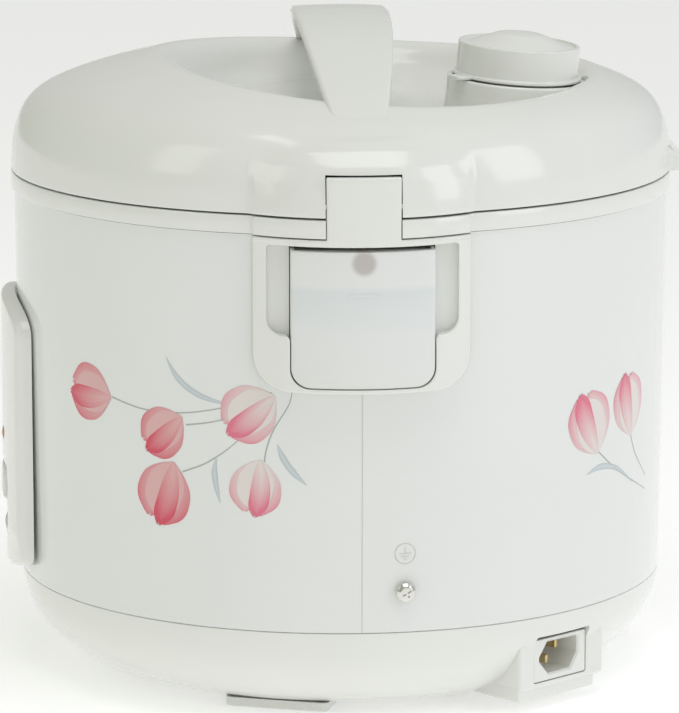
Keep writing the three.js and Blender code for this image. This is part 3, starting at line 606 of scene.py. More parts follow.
def base_mesh():
    lip = [(141.7, BASE_SEAM_Z), (141.7, 48.5), (139.6, 48.5), (139.6, BASE_SEAM_Z - 2)]
    seam_edge = [(WALL_FOOT_RADIUS - 0.5, BASE_SEAM_Z), (WALL_FOOT_RADIUS - 0.1, BASE_SEAM_Z - 0.25)]
    profile = [(0, BASE_FLOOR_Z), (111, BASE_FLOOR_Z), *bowl_outside[:0:-1], *seam_edge[::-1], *lip,
               *bowl_inside, (0, BASE_FLOOR_Z + 2.5)]
    block = inlet_block(INLET_FACE_U, (-26, 26), (9.4, 31), 2.5, 1.6)
    plinth = inlet_block(INLET_FACE_U - 0.8, (-26, 21), (4.6, 12), 1.5, 1.0)
    bowl = carve(lathe(profile), block, plinth, operation="UNION")
    vents = []
    for k in range(6):
        angle = (k + 0.5) * math.pi / 3
        slot = rounded_outline(rectangle((35, 70), (-2, 2), 1.9), 0, 6, 2)
        vents.append(loft([[at(angle, a, b, z) for a, b in slot] for z in (0, 12)]))
    holes = [moved(rod(3.3, 0, 12, 32), Matrix.Translation(at(a, FOOT_RADIUS, 0, 0))) for a in FOOT_ANGLES]
    mouth = rounded_outline(rectangle((-17.5, 15), (12, 33), 1.2), 0, 4, 2)
    socket = loft([[at(INLET_ANGLE, u, a, b) for a, b in mouth] for u in (109, 150)])
    return carve(bowl, gathered(*vents, *holes), socket)


BASE_NODES = [node for node in ("base_shell", "inlet_housing") if node in frame["nodes"]]
piece("base_shell_smooth", base_mesh(), "root", "white_gloss", *BASE_NODES)


def inlet_insert():
    """The socket of the mains inlet, flush with the block, with a keyed opening."""
    corners = rectangle((-17.2, 14.7), (12.3, 31.0), 1.0)
    face = INLET_FACE_U - 0.25
    body = pillow(lambda g: rounded_outline(corners, g, 4, 4), block_spot(face), face - 109.5, 0.5)
    keyed = [(-8.5, 29.2, 0.8), (-13.2, 23, 0.8), (-13.2, 21.2, 0.8), (-7.7, 15.2, 1.2), (5.5, 15.3, 1.2),
             (10, 21.8, 1.0), (10, 29, 0.8)]
    rings = [[at(INLET_ANGLE, u, a, b) for a, b in rounded_outline(keyed, g, 4, 4)]
             for u, g in ((120, 0), (137.4, 0), (138.3, 0.9), (150, 0.9))]
    pins = gathered(*(moved(box_shape((100, 125), (v - 1.3, v + 1.3), (z - 2.3, z + 2.3)),
                            Matrix.Rotation(INLET_ANGLE, 4, "Z")) for v, z in INLET_PINS))
    return carve(body, loft(rings), pins)


piece("inlet_socket_smooth", inlet_insert(), "root", "white_gloss", "inlet_socket")
for k, (v, z) in enumerate(INLET_PINS):
    blade = rectangle((v - 1, v + 1), (z - 2, z + 2), 0.5)
    shape = pillow(lambda g: rounded_outline(blade, g, 3, 1), block_spot(131), 21, 0.45, 3)
    piece(f"inlet_pin_round_{k + 1}", shape, "root", "brass_contact", f"inlet_pin_{k + 1}")

for k, angle in enumerate(FOOT_ANGLES):
    corners = rectangle((-9, 9), (-23, 23), 3)

    def foot_spot(a, b, depth, angle=angle):
        return at(angle, FOOT_RADIUS + a, b, depth)

    pad = pillow(lambda g: rounded_outline(corners, g, 6, 5), foot_spot, BASE_FLOOR_Z - 0.3, 1.1)
    piece(f"foot_pad_{k + 1}", pad, "root", "white_gloss", f"foot_{k + 1}")


# ---- signed distances, for shapes that flow into each other ----
def distance_table(outline, low, high, pitch=0.5):
    """A function of (a, b) arrays that gives the distance to a closed outline, below zero inside it."""
    axes = [np.arange(low[k], high[k] + pitch, pitch) for k in (0, 1)]
    grid = np.stack(np.meshgrid(*axes, indexing="ij"), -1).reshape(-1, 2)
    best = np.full(len(grid), 1e9)
    for a, b in zip(outline, np.roll(outline, -1, axis=0)):
        span = b - a
        share = np.clip(((grid - a) @ span) / max(span @ span, 1e-12), 0, 1)
        best = np.minimum(best, np.linalg.norm(grid - a - share[:, None] * span, axis=1))
    best = np.where(inside(grid, outline), -best, best).reshape(len(axes[0]), len(axes[1]))

    def look(a, b):
        u = np.clip((a - low[0]) / pitch, 0, best.shape[0] - 1.001)
        v = np.clip((b - low[1]) / pitch, 0, best.shape[1] - 1.001)
        i, j = u.astype(int), v.astype(int)
        u, v = u - i, v - j
        near = best[i, j] * (1 - v) + best[i, j + 1] * v
        far = best[i + 1, j] * (1 - v) + best[i + 1, j + 1] * v
        return near * (1 - u) + far * u

    return look


def soft_min(a, b, blend):
    share = np.clip(0.5 + 0.5 * (b - a) / blend, 0, 1)
    return b + (a - b) * share - blend * share * (1 - share)


def soft_max(a, b, blend):
    return -soft_min(-a, -b, blend)


# ---- the ring under the lid ----
def column_angles():
    """Angles round the body, closer together where the bosses and the lift lip begin."""
    angles = set(np.round(np.arange(0, 360, 1.25), 3))
    for centre in (17.6, 162.4, 197.6, 342.4):
        angles |= set(np.round(np.arange(centre - 3, centre + 3, 0.25), 3))
    for centre in (76.5, 103.5):
        angles |= set(np.round(np.arange(centre - 1.5, centre + 1.5, 0.3), 3))
    return np.radians(sorted(angles))


COLUMNS = column_angles()


def ring_plan(radius):
    """The plan outline of the ring: the round body with both bosses flowing into it."""
    near, far = np.full(len(COLUMNS), 140.0), np.full(len(COLUMNS), 170.0)
    for _ in range(40):
        middle = (near + far) / 2
        x, y = middle * np.cos(COLUMNS), middle * np.sin(COLUMNS)
        gap = np.hypot(x, y) - radius
        for side in (1, -1):
            boss = soft_max(np.hypot(x - side * BOSS_CENTRE_X, y) - BOSS_RADIUS, np.abs(y) - BOSS_HALF, 0.8)
            gap = soft_min(gap, soft_max(boss, 100 - side * x, 1), 0.8)
        near, far = np.where(gap < 0, middle, near), np.where(gap < 0, far, middle)
    return np.stack([near * np.cos(COLUMNS), near * np.sin(COLUMNS)], 1)


def circle(radius, z):
    return [(radius * math.cos(a), radius * math.sin(a), z) for a in COLUMNS]


def top_ring():
    plan = ring_plan(RING_RADIUS)
    edge = 0.5
    rings = []
    for grow, z in ((-1.2, RING_BOTTOM_Z), (-edge, RING_BOTTOM_Z), (-0.15, RING_BOTTOM_Z + 0.12),
                    (0, RING_BOTTOM_Z + edge), (0, RING_TOP_Z - edge), (-0.15, RING_TOP_Z - 0.12),
                    (-edge, RING_TOP_Z), (-2.5, RING_TOP_Z)):
        rings.append([(x, y, z) for x, y in offset_curve(plan, grow)])
    for r, z in ((127, RING_TOP_Z), (125, RING_TOP_Z - 0.3), (124.5, RING_TOP_Z - 1), (124.5, 215.2),
                 (123.9, 214.5), (119.4, 214.5), (118.5, 213.8), (118.5, 211), (141.6, 211), (141.6, 205),
                 (143.5, 205), (143.5, RING_BOTTOM_Z)):
        rings.append(circle(r, z))
    rings.append(rings[0])
    slot = TONGUE_HALF + 0.3
    return carve(loft(rings, False, False), box_shape((149.1, 165), (-slot, slot), (200, 230)),
                 box_shape((-138.2, -126), HOOK_SLOT, (200, 230)),
                 box_shape((128, 150), (-42.5, 42.5), (200, 211.05)))


piece("top_ring_smooth", top_ring(), "root", "white_gloss", "top_ring")


# ---- the lid ----
DOME = spline([(RING_RADIUS, SEAM_Z), (144.5, 238.5), (138, 251.5), (124, 259.8), (97, 267.9), (60, 274.9),
               (0, LID_TOP_Z)], 120)
dome_distance = distance_table(np.array([*DOME, (-30, LID_TOP_Z), (-30, SEAM_Z)]), (0, 205), (190, 300))
boss_profile = fillet_profile([(0, SEAM_Z, 0), (BOSS_RADIUS, SEAM_Z, 0.9), (74.3, 229, 6), (73, 236, 6),
                               (70, 242.5, 6), (65.5, 247.5, 6), (59, 252, 6), (0, 256, 0)], 6)
boss_distance = distance_table(np.array([*boss_profile, (-30, 256), (-30, SEAM_Z)]), (0, 205), (120, 290))
LIP = fillet_profile([(138, SEAM_Z, 0), (147, SEAM_Z, 0), (151.6, 223.2, 0.8), (151.6, 225.8, 1.0),
                      (144.5, 230.5, 1.5), (138, 232.0, 0)], 4)
lip_distance = distance_table(LIP, (120, 205), (170, 250), 0.25)


def lid_distance(x, y, z):
    """The lid's outside as one signed distance: dome, bosses, lift lip and the oval recess, all blended."""
    gap = dome_distance(np.hypot(x, y), z)
    for side in (1, -1):
        boss = soft_max(boss_distance(np.hypot(x - side * BOSS_CENTRE_X, y), z), np.abs(y) - BOSS_HALF, 1.6)
        gap = soft_min(gap, soft_max(boss, 126 - side * x, 2), 2.4)
    gap = soft_min(gap, soft_max(lip_distance(y, z), np.abs(x) - 34.6, 1.0), 1.2)
    rise = z - RECESS_FLOOR_Z
    half_x = RECESS_HALF[0] + RECESS_FLARE * rise
    half_y = RECESS_HALF[1] + RECESS_FLARE * rise
    across, along = x / half_x, (y - RECESS_CENTRE_Y) / half_y
    reach = np.hypot(across, along)
    slope = np.maximum(np.hypot(across / half_x, along / half_y), 1e-9)
    oval = reach * (reach - 1) / slope * math.cos(math.atan(RECESS_FLARE))
    recess = soft_max(oval, RECESS_FLOOR_Z - z, 9)
    return soft_max(gap, -recess, 10)


def lid_stations():
    """Where each row of the lid starts, as (r, z) on the dome, and the way it looks: 0 outwards, 1 up."""
    length = np.concatenate([[0], np.cumsum(np.linalg.norm(np.diff(DOME, axis=0), axis=1))])
    turn_from = length[np.argmax(DOME[:, 1] > 234)]
    turn_to = length[np.argmax(DOME[:, 0] < 117)]
    fine_to = length[np.argmax(DOME[:, 0] < 55)]
    places = np.concatenate([
        [0.05, 0.3, 0.8], np.arange(1.5, turn_from, 1.5), np.arange(turn_from, turn_to, 1.2),
        np.arange(turn_to, fine_to, 0.9), np.linspace(fine_to, length[-1] - 2, 14)])
    stations = []
    for place in places:
        r, z = np.interp(place, length, DOME[:, 0]), np.interp(place, length, DOME[:, 1])
        share = np.clip((place - turn_from) / (turn_to - turn_from), 0, 1)
        stations.append((r, z, share * math.pi / 2))
    return stations


def lid_outside():
    stations = lid_stations()
    r, z, tilt = (np.array(column)[:, None] for column in zip(*stations))
    cos, sin = np.cos(COLUMNS)[None], np.sin(COLUMNS)[None]
    way = np.stack([np.cos(tilt) * cos, np.cos(tilt) * sin, np.sin(tilt) * np.ones_like(cos)], -1)
    start = np.stack([r * cos, r * sin, z * np.ones_like(cos)], -1) + 16 * way
    gone = np.zeros(start.shape[:2])
    for _ in range(90):
        spot = start - gone[..., None] * way
        gone += 0.85 * np.maximum(lid_distance(spot[..., 0], spot[..., 1], spot[..., 2]), 0)
    return start - gone[..., None] * way


def lid_mesh():
    grid = lid_outside()
    grid[..., 2] = np.maximum(grid[..., 2], SEAM_Z)
    rings = [list(map(tuple, row)) for row in grid]
    foot = offset_curve(grid[0][:, :2], -1.0)
    inner = [(128.5, 254.5), (137, 249), (141.5, 237), (143, SEAM_Z)]
    below = [circle(111, 244.6)] + [circle(rr, zz) for rr, zz in inner] + [[(x, y, SEAM_Z) for x, y in foot]]
    slot = TONGUE_HALF + 0.4
    button_room = rounded_outline(rectangle((-18.2, 18.2), (227, 239.9), 0.8), 0, 4, 3)
    window = loft([[(x, a, b) for a, b in button_room] for x in (-170, -139)])
    tongue_room = box_shape((137.5, 170), (-slot, slot), (200, TONGUE_TOP_Z + 0.7))
    return carve(loft(below + rings), tongue_room, window, moved(rod(31.4, 0.02, 50, 96), VENT_FRAME))


piece("lid_shell_smooth", lid_mesh(), "lid", "white_gloss", "lid_shell")


def handle_shape():
    """The arched strap: rounded cross-sections along the arch, drawn in at its two ends."""
    edge, corner = 1.7, 9.0

    def half_width(x):
        taper = HANDLE_HALF * (1 - (x / HANDLE_TAPER) ** 2)
        into_end = max(abs(x) - (HANDLE_REACH - corner), 0) / corner
        return taper - corner * (1 - math.sqrt(max(1 - into_end ** 2, 0)))

    tips = HANDLE_REACH - corner * (1 - np.sin(np.linspace(0, math.pi / 2, 12)))
    arch = np.linspace(-tips[0], tips[0], 71)
    stations = [*-tips[:0:-1], *arch, *tips[1:]]
    sections = []
    for x in stations:
        half = max(half_width(x), 0.4)
        round_here = min(edge, half * 0.8)
        low = -HANDLE_THICKNESS
        corners = rectangle((-half, half), (low, 0), round_here)
        top = HANDLE_TOP_Z - HANDLE_DROP * x * x
        sections.append([(x, a, top + b - 0.7 * (a / HANDLE_HALF) ** 2 * (b > low / 2))
                         for a, b in rounded_outline(corners, 0, 6, 9)])
    return loft(sections)


piece("lid_handle_smooth", handle_shape(), "lid", "white_gloss", "lid_handle")

# ---- the steam vent ----
SEAT = fillet_profile([(12, -3, 0), (31.1, -3, 0), (30.9, 2, 2), (30.5, 8, 3), (30.5, SEAT_TOP_Z, 1.6),
                       (28, SEAT_TOP_Z, 0.8), (28, 4, 1), (12, 4, 0.8), (12, -3, 0)])
piece("steam_seat_smooth", moved(lathe(SEAT, 160), VENT_FRAME), "lid", "white_gloss", "steam_seat")


def steam_cap():
    profile = fillet_profile([
        (0, 35, 0), (10, 34, 8), (22, 29.4, 1.5), (24.9, 28.9, 0.5), (25.1, 29.9, 0.3), (26.7, 29.9, 0.7),
        (26.7, FLANGE_Z + 1.6, 0.6), (28.2, FLANGE_Z + 1.6, 0.6), (28.2, FLANGE_Z + 0.2, 0.5),
        (22, FLANGE_Z + 0.2, 0.8), (22, 8, 0.6), (20.5, 8, 0.6), (20.5, 27, 1.5), (10, 31.8, 3),
        (0, 32.8, 0)])
    tab_corners = [(-35, -4, 2.5), (-26, -4, 1), (-26, 4, 1), (-35, 4, 2.5)]
    tab = pillow(lambda g: rounded_outline(tab_corners, g, 5, 3), lambda a, b, d: (a, b, FLANGE_Z + 1.6 - d),
                 1.6, 0.5, 3, 0.5)
    tab = moved(tab, VENT_FRAME @ Matrix.Rotation(SLOT_PITCH, 4, "Z"))
    opening = rounded_outline(rectangle((11.5, 14.5), (-4.5, 4.5), 1.4), 0, 5, 2)
    slot = loft([[(a, b, z) for a, b in opening] for z in (26, 38)])
    turns = [SLOT_MIDDLE + k * SLOT_PITCH for k in (-1, 0, 1)]
    slots = [moved(slot, VENT_FRAME @ Matrix.Rotation(turn, 4, "Z")) for turn in turns]
    cap = carve(moved(lathe(profile, 160), VENT_FRAME), tab, operation="UNION")
    return carve(cap, gathered(*slots))


piece("steam_cap_smooth", steam_cap(), "steam_cap", "white_gloss", "steam_cap")

# ---- hinge bracket and dew collector ----
BRACKET = symmetric([(BOSS_HALF, BRACKET_BOTTOM_Z, 15), (BOSS_HALF, BRACKET_TOP_Z, 0.3),
                     (TONGUE_HALF, BRACKET_TOP_Z, 0.3), (TONGUE_HALF, TONGUE_TOP_Z, 0.6)])
BRACKET_MOUTH = symmetric([(ROOM_HALF, ROOM_BOTTOM_Z, 8), (ROOM_HALF, POCKET_BOTTOM_Z, 2),
                           (POCKET_HALF, POCKET_BOTTOM_Z, 7), (POCKET_HALF, POCKET_TOP_Z, 1.5)])
ROOM = symmetric([(ROOM_HALF, ROOM_BOTTOM_Z, 8), (ROOM_HALF, POCKET_TOP_Z, 0.5)])
COLLECTOR = symmetric([(COLLECTOR_HALF, COLLECTOR_BOTTOM_Z, 8), (COLLECTOR_HALF, COLLECTOR_TOP_Z, 0.8)])


def bracket_spot(a, b, depth):
    return (boss_x(a) - depth, a, b)


def bracket_shape():
    """The moulded bracket with the hinge tongue: one front face, rounded edges, pockets and a room."""
    edge, lip, tongue_back_x = 0.9, 0.7, 152.2

    def rim(g):
        return rounded_outline(BRACKET, g, 8, 10)

    def mouth_rim(g):
        return rounded_outline(BRACKET_MOUTH, g, 8, 8)

    def back_x(a, b):
        return min(wall_x(a), boss_x(a) - edge) if b < RING_BOTTOM_Z else tongue_back_x

    outer = [[bracket_spot(a, b, d) for a, b in rim(g)] for g, d in quarter(edge, 4)]
    outer.append([(back_x(a, b), a, b) for a, b in rim(0)])
    mouth = [[bracket_spot(a, b, d) for a, b in mouth_rim(-g)] for g, d in quarter(lip, 4)]
    mouth.append([(POCKET_BACK_X, a, b) for a, b in mouth_rim(0)])
    room_rim = rounded_outline(ROOM, -0.02, 8, 8)
    face = plate(rim(-edge), [mouth_rim(lip)], lambda a, b: bracket_spot(a, b, 0), 2.2)
    floor = plate(mouth_rim(0), [room_rim], lambda a, b: (POCKET_BACK_X, a, b))
    room = loft([[(x, a, b) for a, b in room_rim] for x in (POCKET_BACK_X, ROOM_BACK_X)], False, True)
    tongue = [(a, b) for a, b in rim(0) if b > RING_BOTTOM_Z - 1]
    tongue_back = plate(tongue, (), lambda a, b: (tongue_back_x, a, b))
    return gathered(loft(outer, False, False), loft(mouth, False, False), face, floor, room, tongue_back)


piece("hinge_bracket_smooth", bracket_shape(), "root", "white_gloss", "hinge_bracket")


def collector_mesh():
    """The frosted cup: a thin shell, open above its back part, with a finger rib on its front."""
    def shell_spot(front, back):
        return lambda a, b, depth: (boss_x(a, front) - depth if depth < 8 else back, a, b)

    outer_spot, inner_spot = shell_spot(COLLECTOR_RADIUS, 133.4), shell_spot(COLLECTOR_RADIUS - 1.8, 135)
    outside = pillow(lambda g: rounded_outline(COLLECTOR, g, 8, 8), outer_spot, 9, 0.8, 4)
    room = [(a * 0.947, b + (1.6 if b < 180 else -1.4), r) for a, b, r in COLLECTOR]
    hollow = pillow(lambda g: rounded_outline(room, g, 8, 8), inner_spot, 9, 0.8, 3)
    above_cup = box_shape((120, 147.2), (-28.4, 28.4), (CUP_TOP_Z, 230))
    shell = carve(outside, hollow, above_cup)
    rib_corners = rectangle((-6.7, 6.7), (188.7, 190.1), 0.5)
    rib = pillow(lambda g: rounded_outline(rib_corners, g, 4, 8),
                 lambda a, b, d: (boss_x(a, COLLECTOR_RADIUS + 0.35) - d, a, b), 1.2, 0.35, 3)
    return carve(shell, rib, operation="UNION")


piece("dew_collector_smooth", collector_mesh(), "collector", "frosted_plastic", "dew_collector")

# ---- control panel ----
def panel_outline(grow):
    """The front of the panel in (x, z): straight sides, an arched top and a curved chin."""
    half, shoulder, apex, foot, chin = PANEL_HALF, 152.0, 166.5, 50.5, 43.6
    crown = apex - shoulder
    top = [(half * math.copysign(abs(math.cos(t)) ** 0.8, math.cos(t)), shoulder + crown * math.sin(t) ** 0.9)
           for t in np.linspace(0, math.pi, 37)]
    left = np.linspace((-half, shoulder), (-half, foot + 4), 30)[1:-1]
    corner = bezier((-half, foot + 4), (-half, foot), (-half + 8, foot - 2), 8)
    under = bezier((-half + 8, foot - 2), (0, 2 * chin - foot + 2), (half - 8, foot - 2), 28)[1:-1]
    mirror = [(-a, b) for a, b in corner[::-1]]
    right = [(-a, b) for a, b in left[::-1]]
    return offset_curve(np.array([*top, *left, *corner, *under, *mirror, *right]), grow)


def panel_spot(a, b, depth):
    """On the panel's skin, which steps back a little under the lever."""
    share = min(max((b - 58.5) / 4.0, 0), 1)
    share = share * share * (3 - 2 * share)
    radius = PANEL_FOOT_RADIUS + (PANEL_RADIUS - PANEL_FOOT_RADIUS) * share - depth
    return (a, -math.sqrt(radius ** 2 - a ** 2), b)


def arc_spot(radius):
    return lambda a, b, depth=0.0: (a, -math.sqrt((radius - depth) ** 2 - a ** 2), b)


def lamp_outline(x, grow):
    return np.array([(x + (3.3 + grow) * math.cos(t), LAMP_Z + (3.3 + grow) * math.sin(t))
                     for t in np.linspace(0, 2 * math.pi, 32, endpoint=False)])


def panel_shape():
    """The panel's plate, with a dish round the lever, the lever's slot and two lamp holes."""
    edge, lip = 3.0, 0.6
    back_radius = WALL_TOP_RADIUS + 0.4
    dish = rectangle((-24, 24), (61, 90.5), 4)
    slot = rounded_outline(rectangle((-5.5, 5.5), (68.2, 82.6), 1), 0, 4, 3)

    def dish_rim(g):
        return rounded_outline(dish, g, 6, 10)

    outer = [[panel_spot(a, b, d) for a, b in panel_outline(g)] for g, d in quarter(edge, 5)]
    outer.append([arc_spot(back_radius)(a, b) for a, b in panel_outline(0)])
    bowl = [[panel_spot(a, b, d) for a, b in dish_rim(-g)] for g, d in quarter(lip, 3)]
    bowl += [[arc_spot(DISH_RADIUS)(a, b) for a, b in dish_rim(g)] for g in (0, -0.4)]
    hole = [[arc_spot(r)(a, b) for a, b in slot] for r in (DISH_RADIUS, back_radius)]
    steps = ((PANEL_RADIUS, 0.4), (PANEL_RADIUS - 0.4, 0), (back_radius, 0))
    lamps = [[[arc_spot(r)(a, b) for a, b in lamp_outline(x, g)] for r, g in steps] for x in LAMP_XS]
    face = plate(panel_outline(-edge), [dish_rim(lip), *(lamp_outline(x, 0.4) for x in LAMP_XS)],
                 lambda a, b: panel_spot(a, b, 0), 2.6)
    floor = plate(dish_rim(-0.4), [slot], arc_spot(DISH_RADIUS))
    back = plate(panel_outline(0), [slot, *(lamp_outline(x, 0) for x in LAMP_XS)], arc_spot(back_radius), 5)
    skins = [loft(rings, False, False) for rings in (outer, bowl, hole, *lamps)]
    return gathered(*skins, face, floor, back)


piece("control_panel_smooth", panel_shape(), "root", "white_gloss", "control_panel")


def knob_shape():
    """The lever's knob: a broad rocker with three grip ribs across it."""
    corners = rectangle((-17, 17), (73.5, 87.5), 3)

    def spot(a, b, depth):
        front = np.interp(b, (73.5, 76, 84.5, 87.5), (151.5, 152.5, 152.5, 151.8))
        ribs = 0.2 * sum(math.exp(-((b - z) / 0.45) ** 2) for z in (78.2, 80.5, 82.8)) * (abs(a) < 12)
        return arc_spot(front + ribs)(a, b, depth) if depth < 1.2 else arc_spot(150.2)(a, b)

    return pillow(lambda g: rounded_outline(corners, g, 6, 14), spot, 1.3, 0.9, 4)


piece("lever_knob_smooth", knob_shape(), "switch", "white_gloss", "lever_knob")
for name, x, slot in (("lamp_keep_warm", LAMP_XS[0], "green_lens"), ("lamp_cook", LAMP_XS[1], "amber_lens")):
    profile = fillet_profile([(0, -6, 0), (3, -6, 0.2), (3, -0.6, 0.9), (0, 0, 0)], 6)
    facing_front = Matrix.Translation((x, -151.9, LAMP_Z)) @ Matrix.Rotation(math.pi / 2, 4, "X")
    shape = moved(lathe(profile, 48), facing_front)
    piece(f"{name}_lens", shape, "root", slot, name)


def button_shape():
    """The release button: flush with the latch boss, with a shallow thumb dish."""
    corners = rectangle((-17.8, 17.8), (227.4, 239.5), 1.0)

    def spot(a, b, depth):
        radius = 74.1 - 0.7 * (b - 227.4) / 12.1
        dish = 0.7 * math.exp(-(a / 9) ** 2 - ((b - 233.4) / 4) ** 2)
        return (-boss_x(a, radius) + depth + dish, a, b) if depth < 2 else (-145.5, a, b)

    return pillow(lambda g: rounded_outline(corners, g, 5, 12), spot, 3, 0.9, 4)


piece("release_button_smooth", button_shape(), "button", "white_gloss", "release_button")

# ---- inside: pot, heater, lid inside ----
def turned(corners, segments=FULL_TURN):
    """A turned solid with rounded corners, from (r, z, radius) points; off the axis its profile is closed."""
    profile = fillet_profile(corners).tolist()
    if profile[0][0] > 0:
        profile.append(profile[0])
    return lathe(profile, segments)


POT = [(0, 84, 0), (100, 84, 8), (110, 88, 8), (114, 98, 8), (114, 214.8, 0.8), (123.6, 214.8, 0.6),
       (123.6, 216.3, 0.6), (112, 216.3, 1.5), (112, 99, 8), (108.5, 90.3, 8), (99, 86, 8), (0, 86, 0)]
SHIELD = [(20, 66, 0), (117.5, 66, 3), (117.5, 209.9, 0.5), (122, 209.9, 0.2), (122, 210.7, 0.2),
          (116.7, 210.7, 0.6), (116.7, 66.8, 2.5), (20, 66.8, 0)]
HEATER = [(19, 67.1, 0), (88, 67.1, 1), (88, 80, 1.5), (84, 83.7, 2)]
for groove in (76, 66, 56, 46, 36):
    HEATER += [(groove + 0.8, 83.7, 0.2), (groove + 0.5, 83.3, 0.1), (groove - 0.5, 83.3, 0.1),
               (groove - 0.8, 83.7, 0.2)]
SENSOR_CAP = [(0, 81.6, 0), (15.2, 81.6, 0.5), (15.2, 76, 0.3), (17, 76, 0.3), (17, 82.6, 0.5),
              (16, 83.6, 0.8), (0, 83.6, 0)]
LID_GASKET = [(113.9, 216.7, 0), (119.5, 216.7, 0.8), (120.5, 219.2, 1), (119.5, 221.6, 0.8),
              (113.9, 221.6, 0)]
VENT_GASKET = [(23, 4.4, 0), (27.4, 4.4, 0.6), (27.4, 7.4, 0.6), (23, 7.4, 0)]
piece("inner_pot_smooth", turned(POT), "root", "pot_aluminium", "inner_pot")
piece("heat_shield_smooth", turned(SHIELD), "root", "sheet_steel", "heat_shield")
piece("heating_plate_smooth", turned([*HEATER, (19, 83.7, 0)]), "root", "cast_aluminium", "heating_plate")
piece("sensor_cap_smooth", turned(SENSOR_CAP, 96), "sensor", "pot_aluminium", "sensor_cap")
piece("lid_gasket_smooth", turned(LID_GASKET), "lid", "silicone", "lid_gasket")
piece("vent_gasket_smooth", moved(turned(VENT_GASKET, 96), VENT_FRAME), "lid", "silicone", "vent_gasket")


def inner_lid():
    """The removable metal lid: pressed rings and the steam holes under the vent."""
    corners = [(4.3, 217.4, 0), (60, 217.4, 2), (63, 218.0, 2), (74, 218.0, 2), (77, 217.4, 2),
               (100, 217.4, 2), (104, 218.6, 2), (113.6, 218.6, 0.4), (113.6, 219.8, 0.4), (103, 219.8, 2),
               (99, 218.8, 2), (77, 218.8, 2), (74, 219.4, 2), (63, 219.4, 2), (60, 218.8, 2),
               (4.3, 218.8, 0)]
    spots = [at(VENT_ANGLE, VENT_DISTANCE, v, 0) for v in (-10, -5, 0, 5, 10)]
    drills = [moved(rod(1.6, 212, 224, 24), Matrix.Translation(spot)) for spot in spots]
    return carve(turned(corners), gathered(*drills))


piece("inner_lid_smooth", inner_lid(), "lid", "pot_aluminium", "inner_lid")


def lid_liner():
    """The grey plate that closes the lid from below, with a bead round its edge."""
    corners = [(4.3, 222, 0), (134, 222, 1), (135, 222.4, 0.3), (137, 222.4, 0.3), (138.5, 222.6, 0.5),
               (138.5, 224, 0.4), (4.3, 224, 0)]
    bore = moved(rod(16, 215, 230, 64), Matrix.Translation(at(VENT_ANGLE, VENT_DISTANCE - 2, 0, 0)))
    return carve(turned(corners), bore, box_shape((-150, -127.5), HOOK_SLOT, (215, 230)))


piece("lid_liner_smooth", lid_liner(), "lid", "grey_plastic", "lid_liner")


def fluted_knob():
    """The knob that holds the inner lid, with finger flutes round its rim."""
    segments, flutes = 144, 12
    profile = fillet_profile([(0, 212, 0), (8, 212, 1.2), (10, 214, 1), (10, 217, 0.4), (4, 217, 0.2),
                              (4, 226, 0.3), (6, 226.4, 0.3), (6, 228, 0.4), (0, 228, 0)])
    verts, faces = lathe(profile, segments)
    shaped = []
    for x, y, z in verts:
        r, a = math.hypot(x, y), math.atan2(y, x)
        dent = 0.45 * (0.5 - 0.5 * math.cos(flutes * a)) if r > 7.5 else 0
        shaped.append(((r - dent) * math.cos(a), (r - dent) * math.sin(a), z))
    return shaped, faces


piece("inner_lid_knob_smooth", fluted_knob(), "lid", "grey_plastic", "inner_lid_knob")


def spout_shape():
    """The drain spout: a short ribbed tube that points at the cup."""
    along = Matrix.Translation((133.4, 0, SPOUT_Z)) @ Matrix.Rotation(math.pi / 2, 4, "Y")
    ribs = []
    for k in range(9):
        ribs += [(5.0, 1.5 + 2 * k, 0.3), (4.6, 2.5 + 2 * k, 0.3)]
    profile = fillet_profile([(0, -6.4, 0), (3, -6.4, 0.3), (3, 0, 0.2), (5, 0, 0.4), *ribs, (5, 20, 0.8),
                              (1.7, 20, 0.5), (1.7, 8, 0.2), (0, 8, 0)], 3)
    return moved(lathe(profile, 64), along)


piece("drain_spout_smooth", spout_shape(), "root", "grey_plastic", "drain_spout", finish="spout_plastic")


def earth_screw():
    """A pan-head screw with a cross recess, in the wall beside the seam."""
    along = (Matrix.Rotation(EARTH_ANGLE, 4, "Z") @ Matrix.Translation((0, 0, EARTH_Z))
             @ Matrix.Rotation(math.pi / 2, 4, "Y"))
    profile = fillet_profile([(0, 136, 0), (2.2, 136, 0.3), (2.2, 145.4, 0.1), (4.2, 145.4, 0.3),
                              (4.2, 146.3, 0.9), (2.6, 147.6, 1.2), (0, 147.6, 0)])
    groove = box_shape((-0.45, 0.45), (-2.1, 2.1), (146.6, 149))
    cross = [moved(groove, along @ Matrix.Rotation(turn, 4, "Z")) for turn in (0.5, 0.5 + math.pi / 2)]
    return carve(moved(lathe(profile, 72), along), *cross)


piece("earth_screw_detailed", earth_screw(), "root", "bright_steel", "earth_screw")


# ---- print and embossing on the wall ----
def on_wall(theta, z, lift):
    """A spot on the painted wall at a plan angle and a height."""
    radius = wall_radius(z) + lift
    return (radius * math.cos(theta), radius * math.sin(theta), z)


def wall_patch(grid, centre, lift, tilt=0.0, size=1.0):
    """Bends a grid of (a, b) points, in millimetres, onto the wall round (degrees, height)."""
    theta, z = math.radians(centre[0]), centre[1]
    rows, cols = grid.shape[:2]
    verts = []
    for a, b in grid.reshape(-1, 2):
        a, b = size * rotate((a, b), tilt)
        verts.append(on_wall(theta + a / wall_radius(z), z + b, lift))
    return verts, cells(rows, cols)


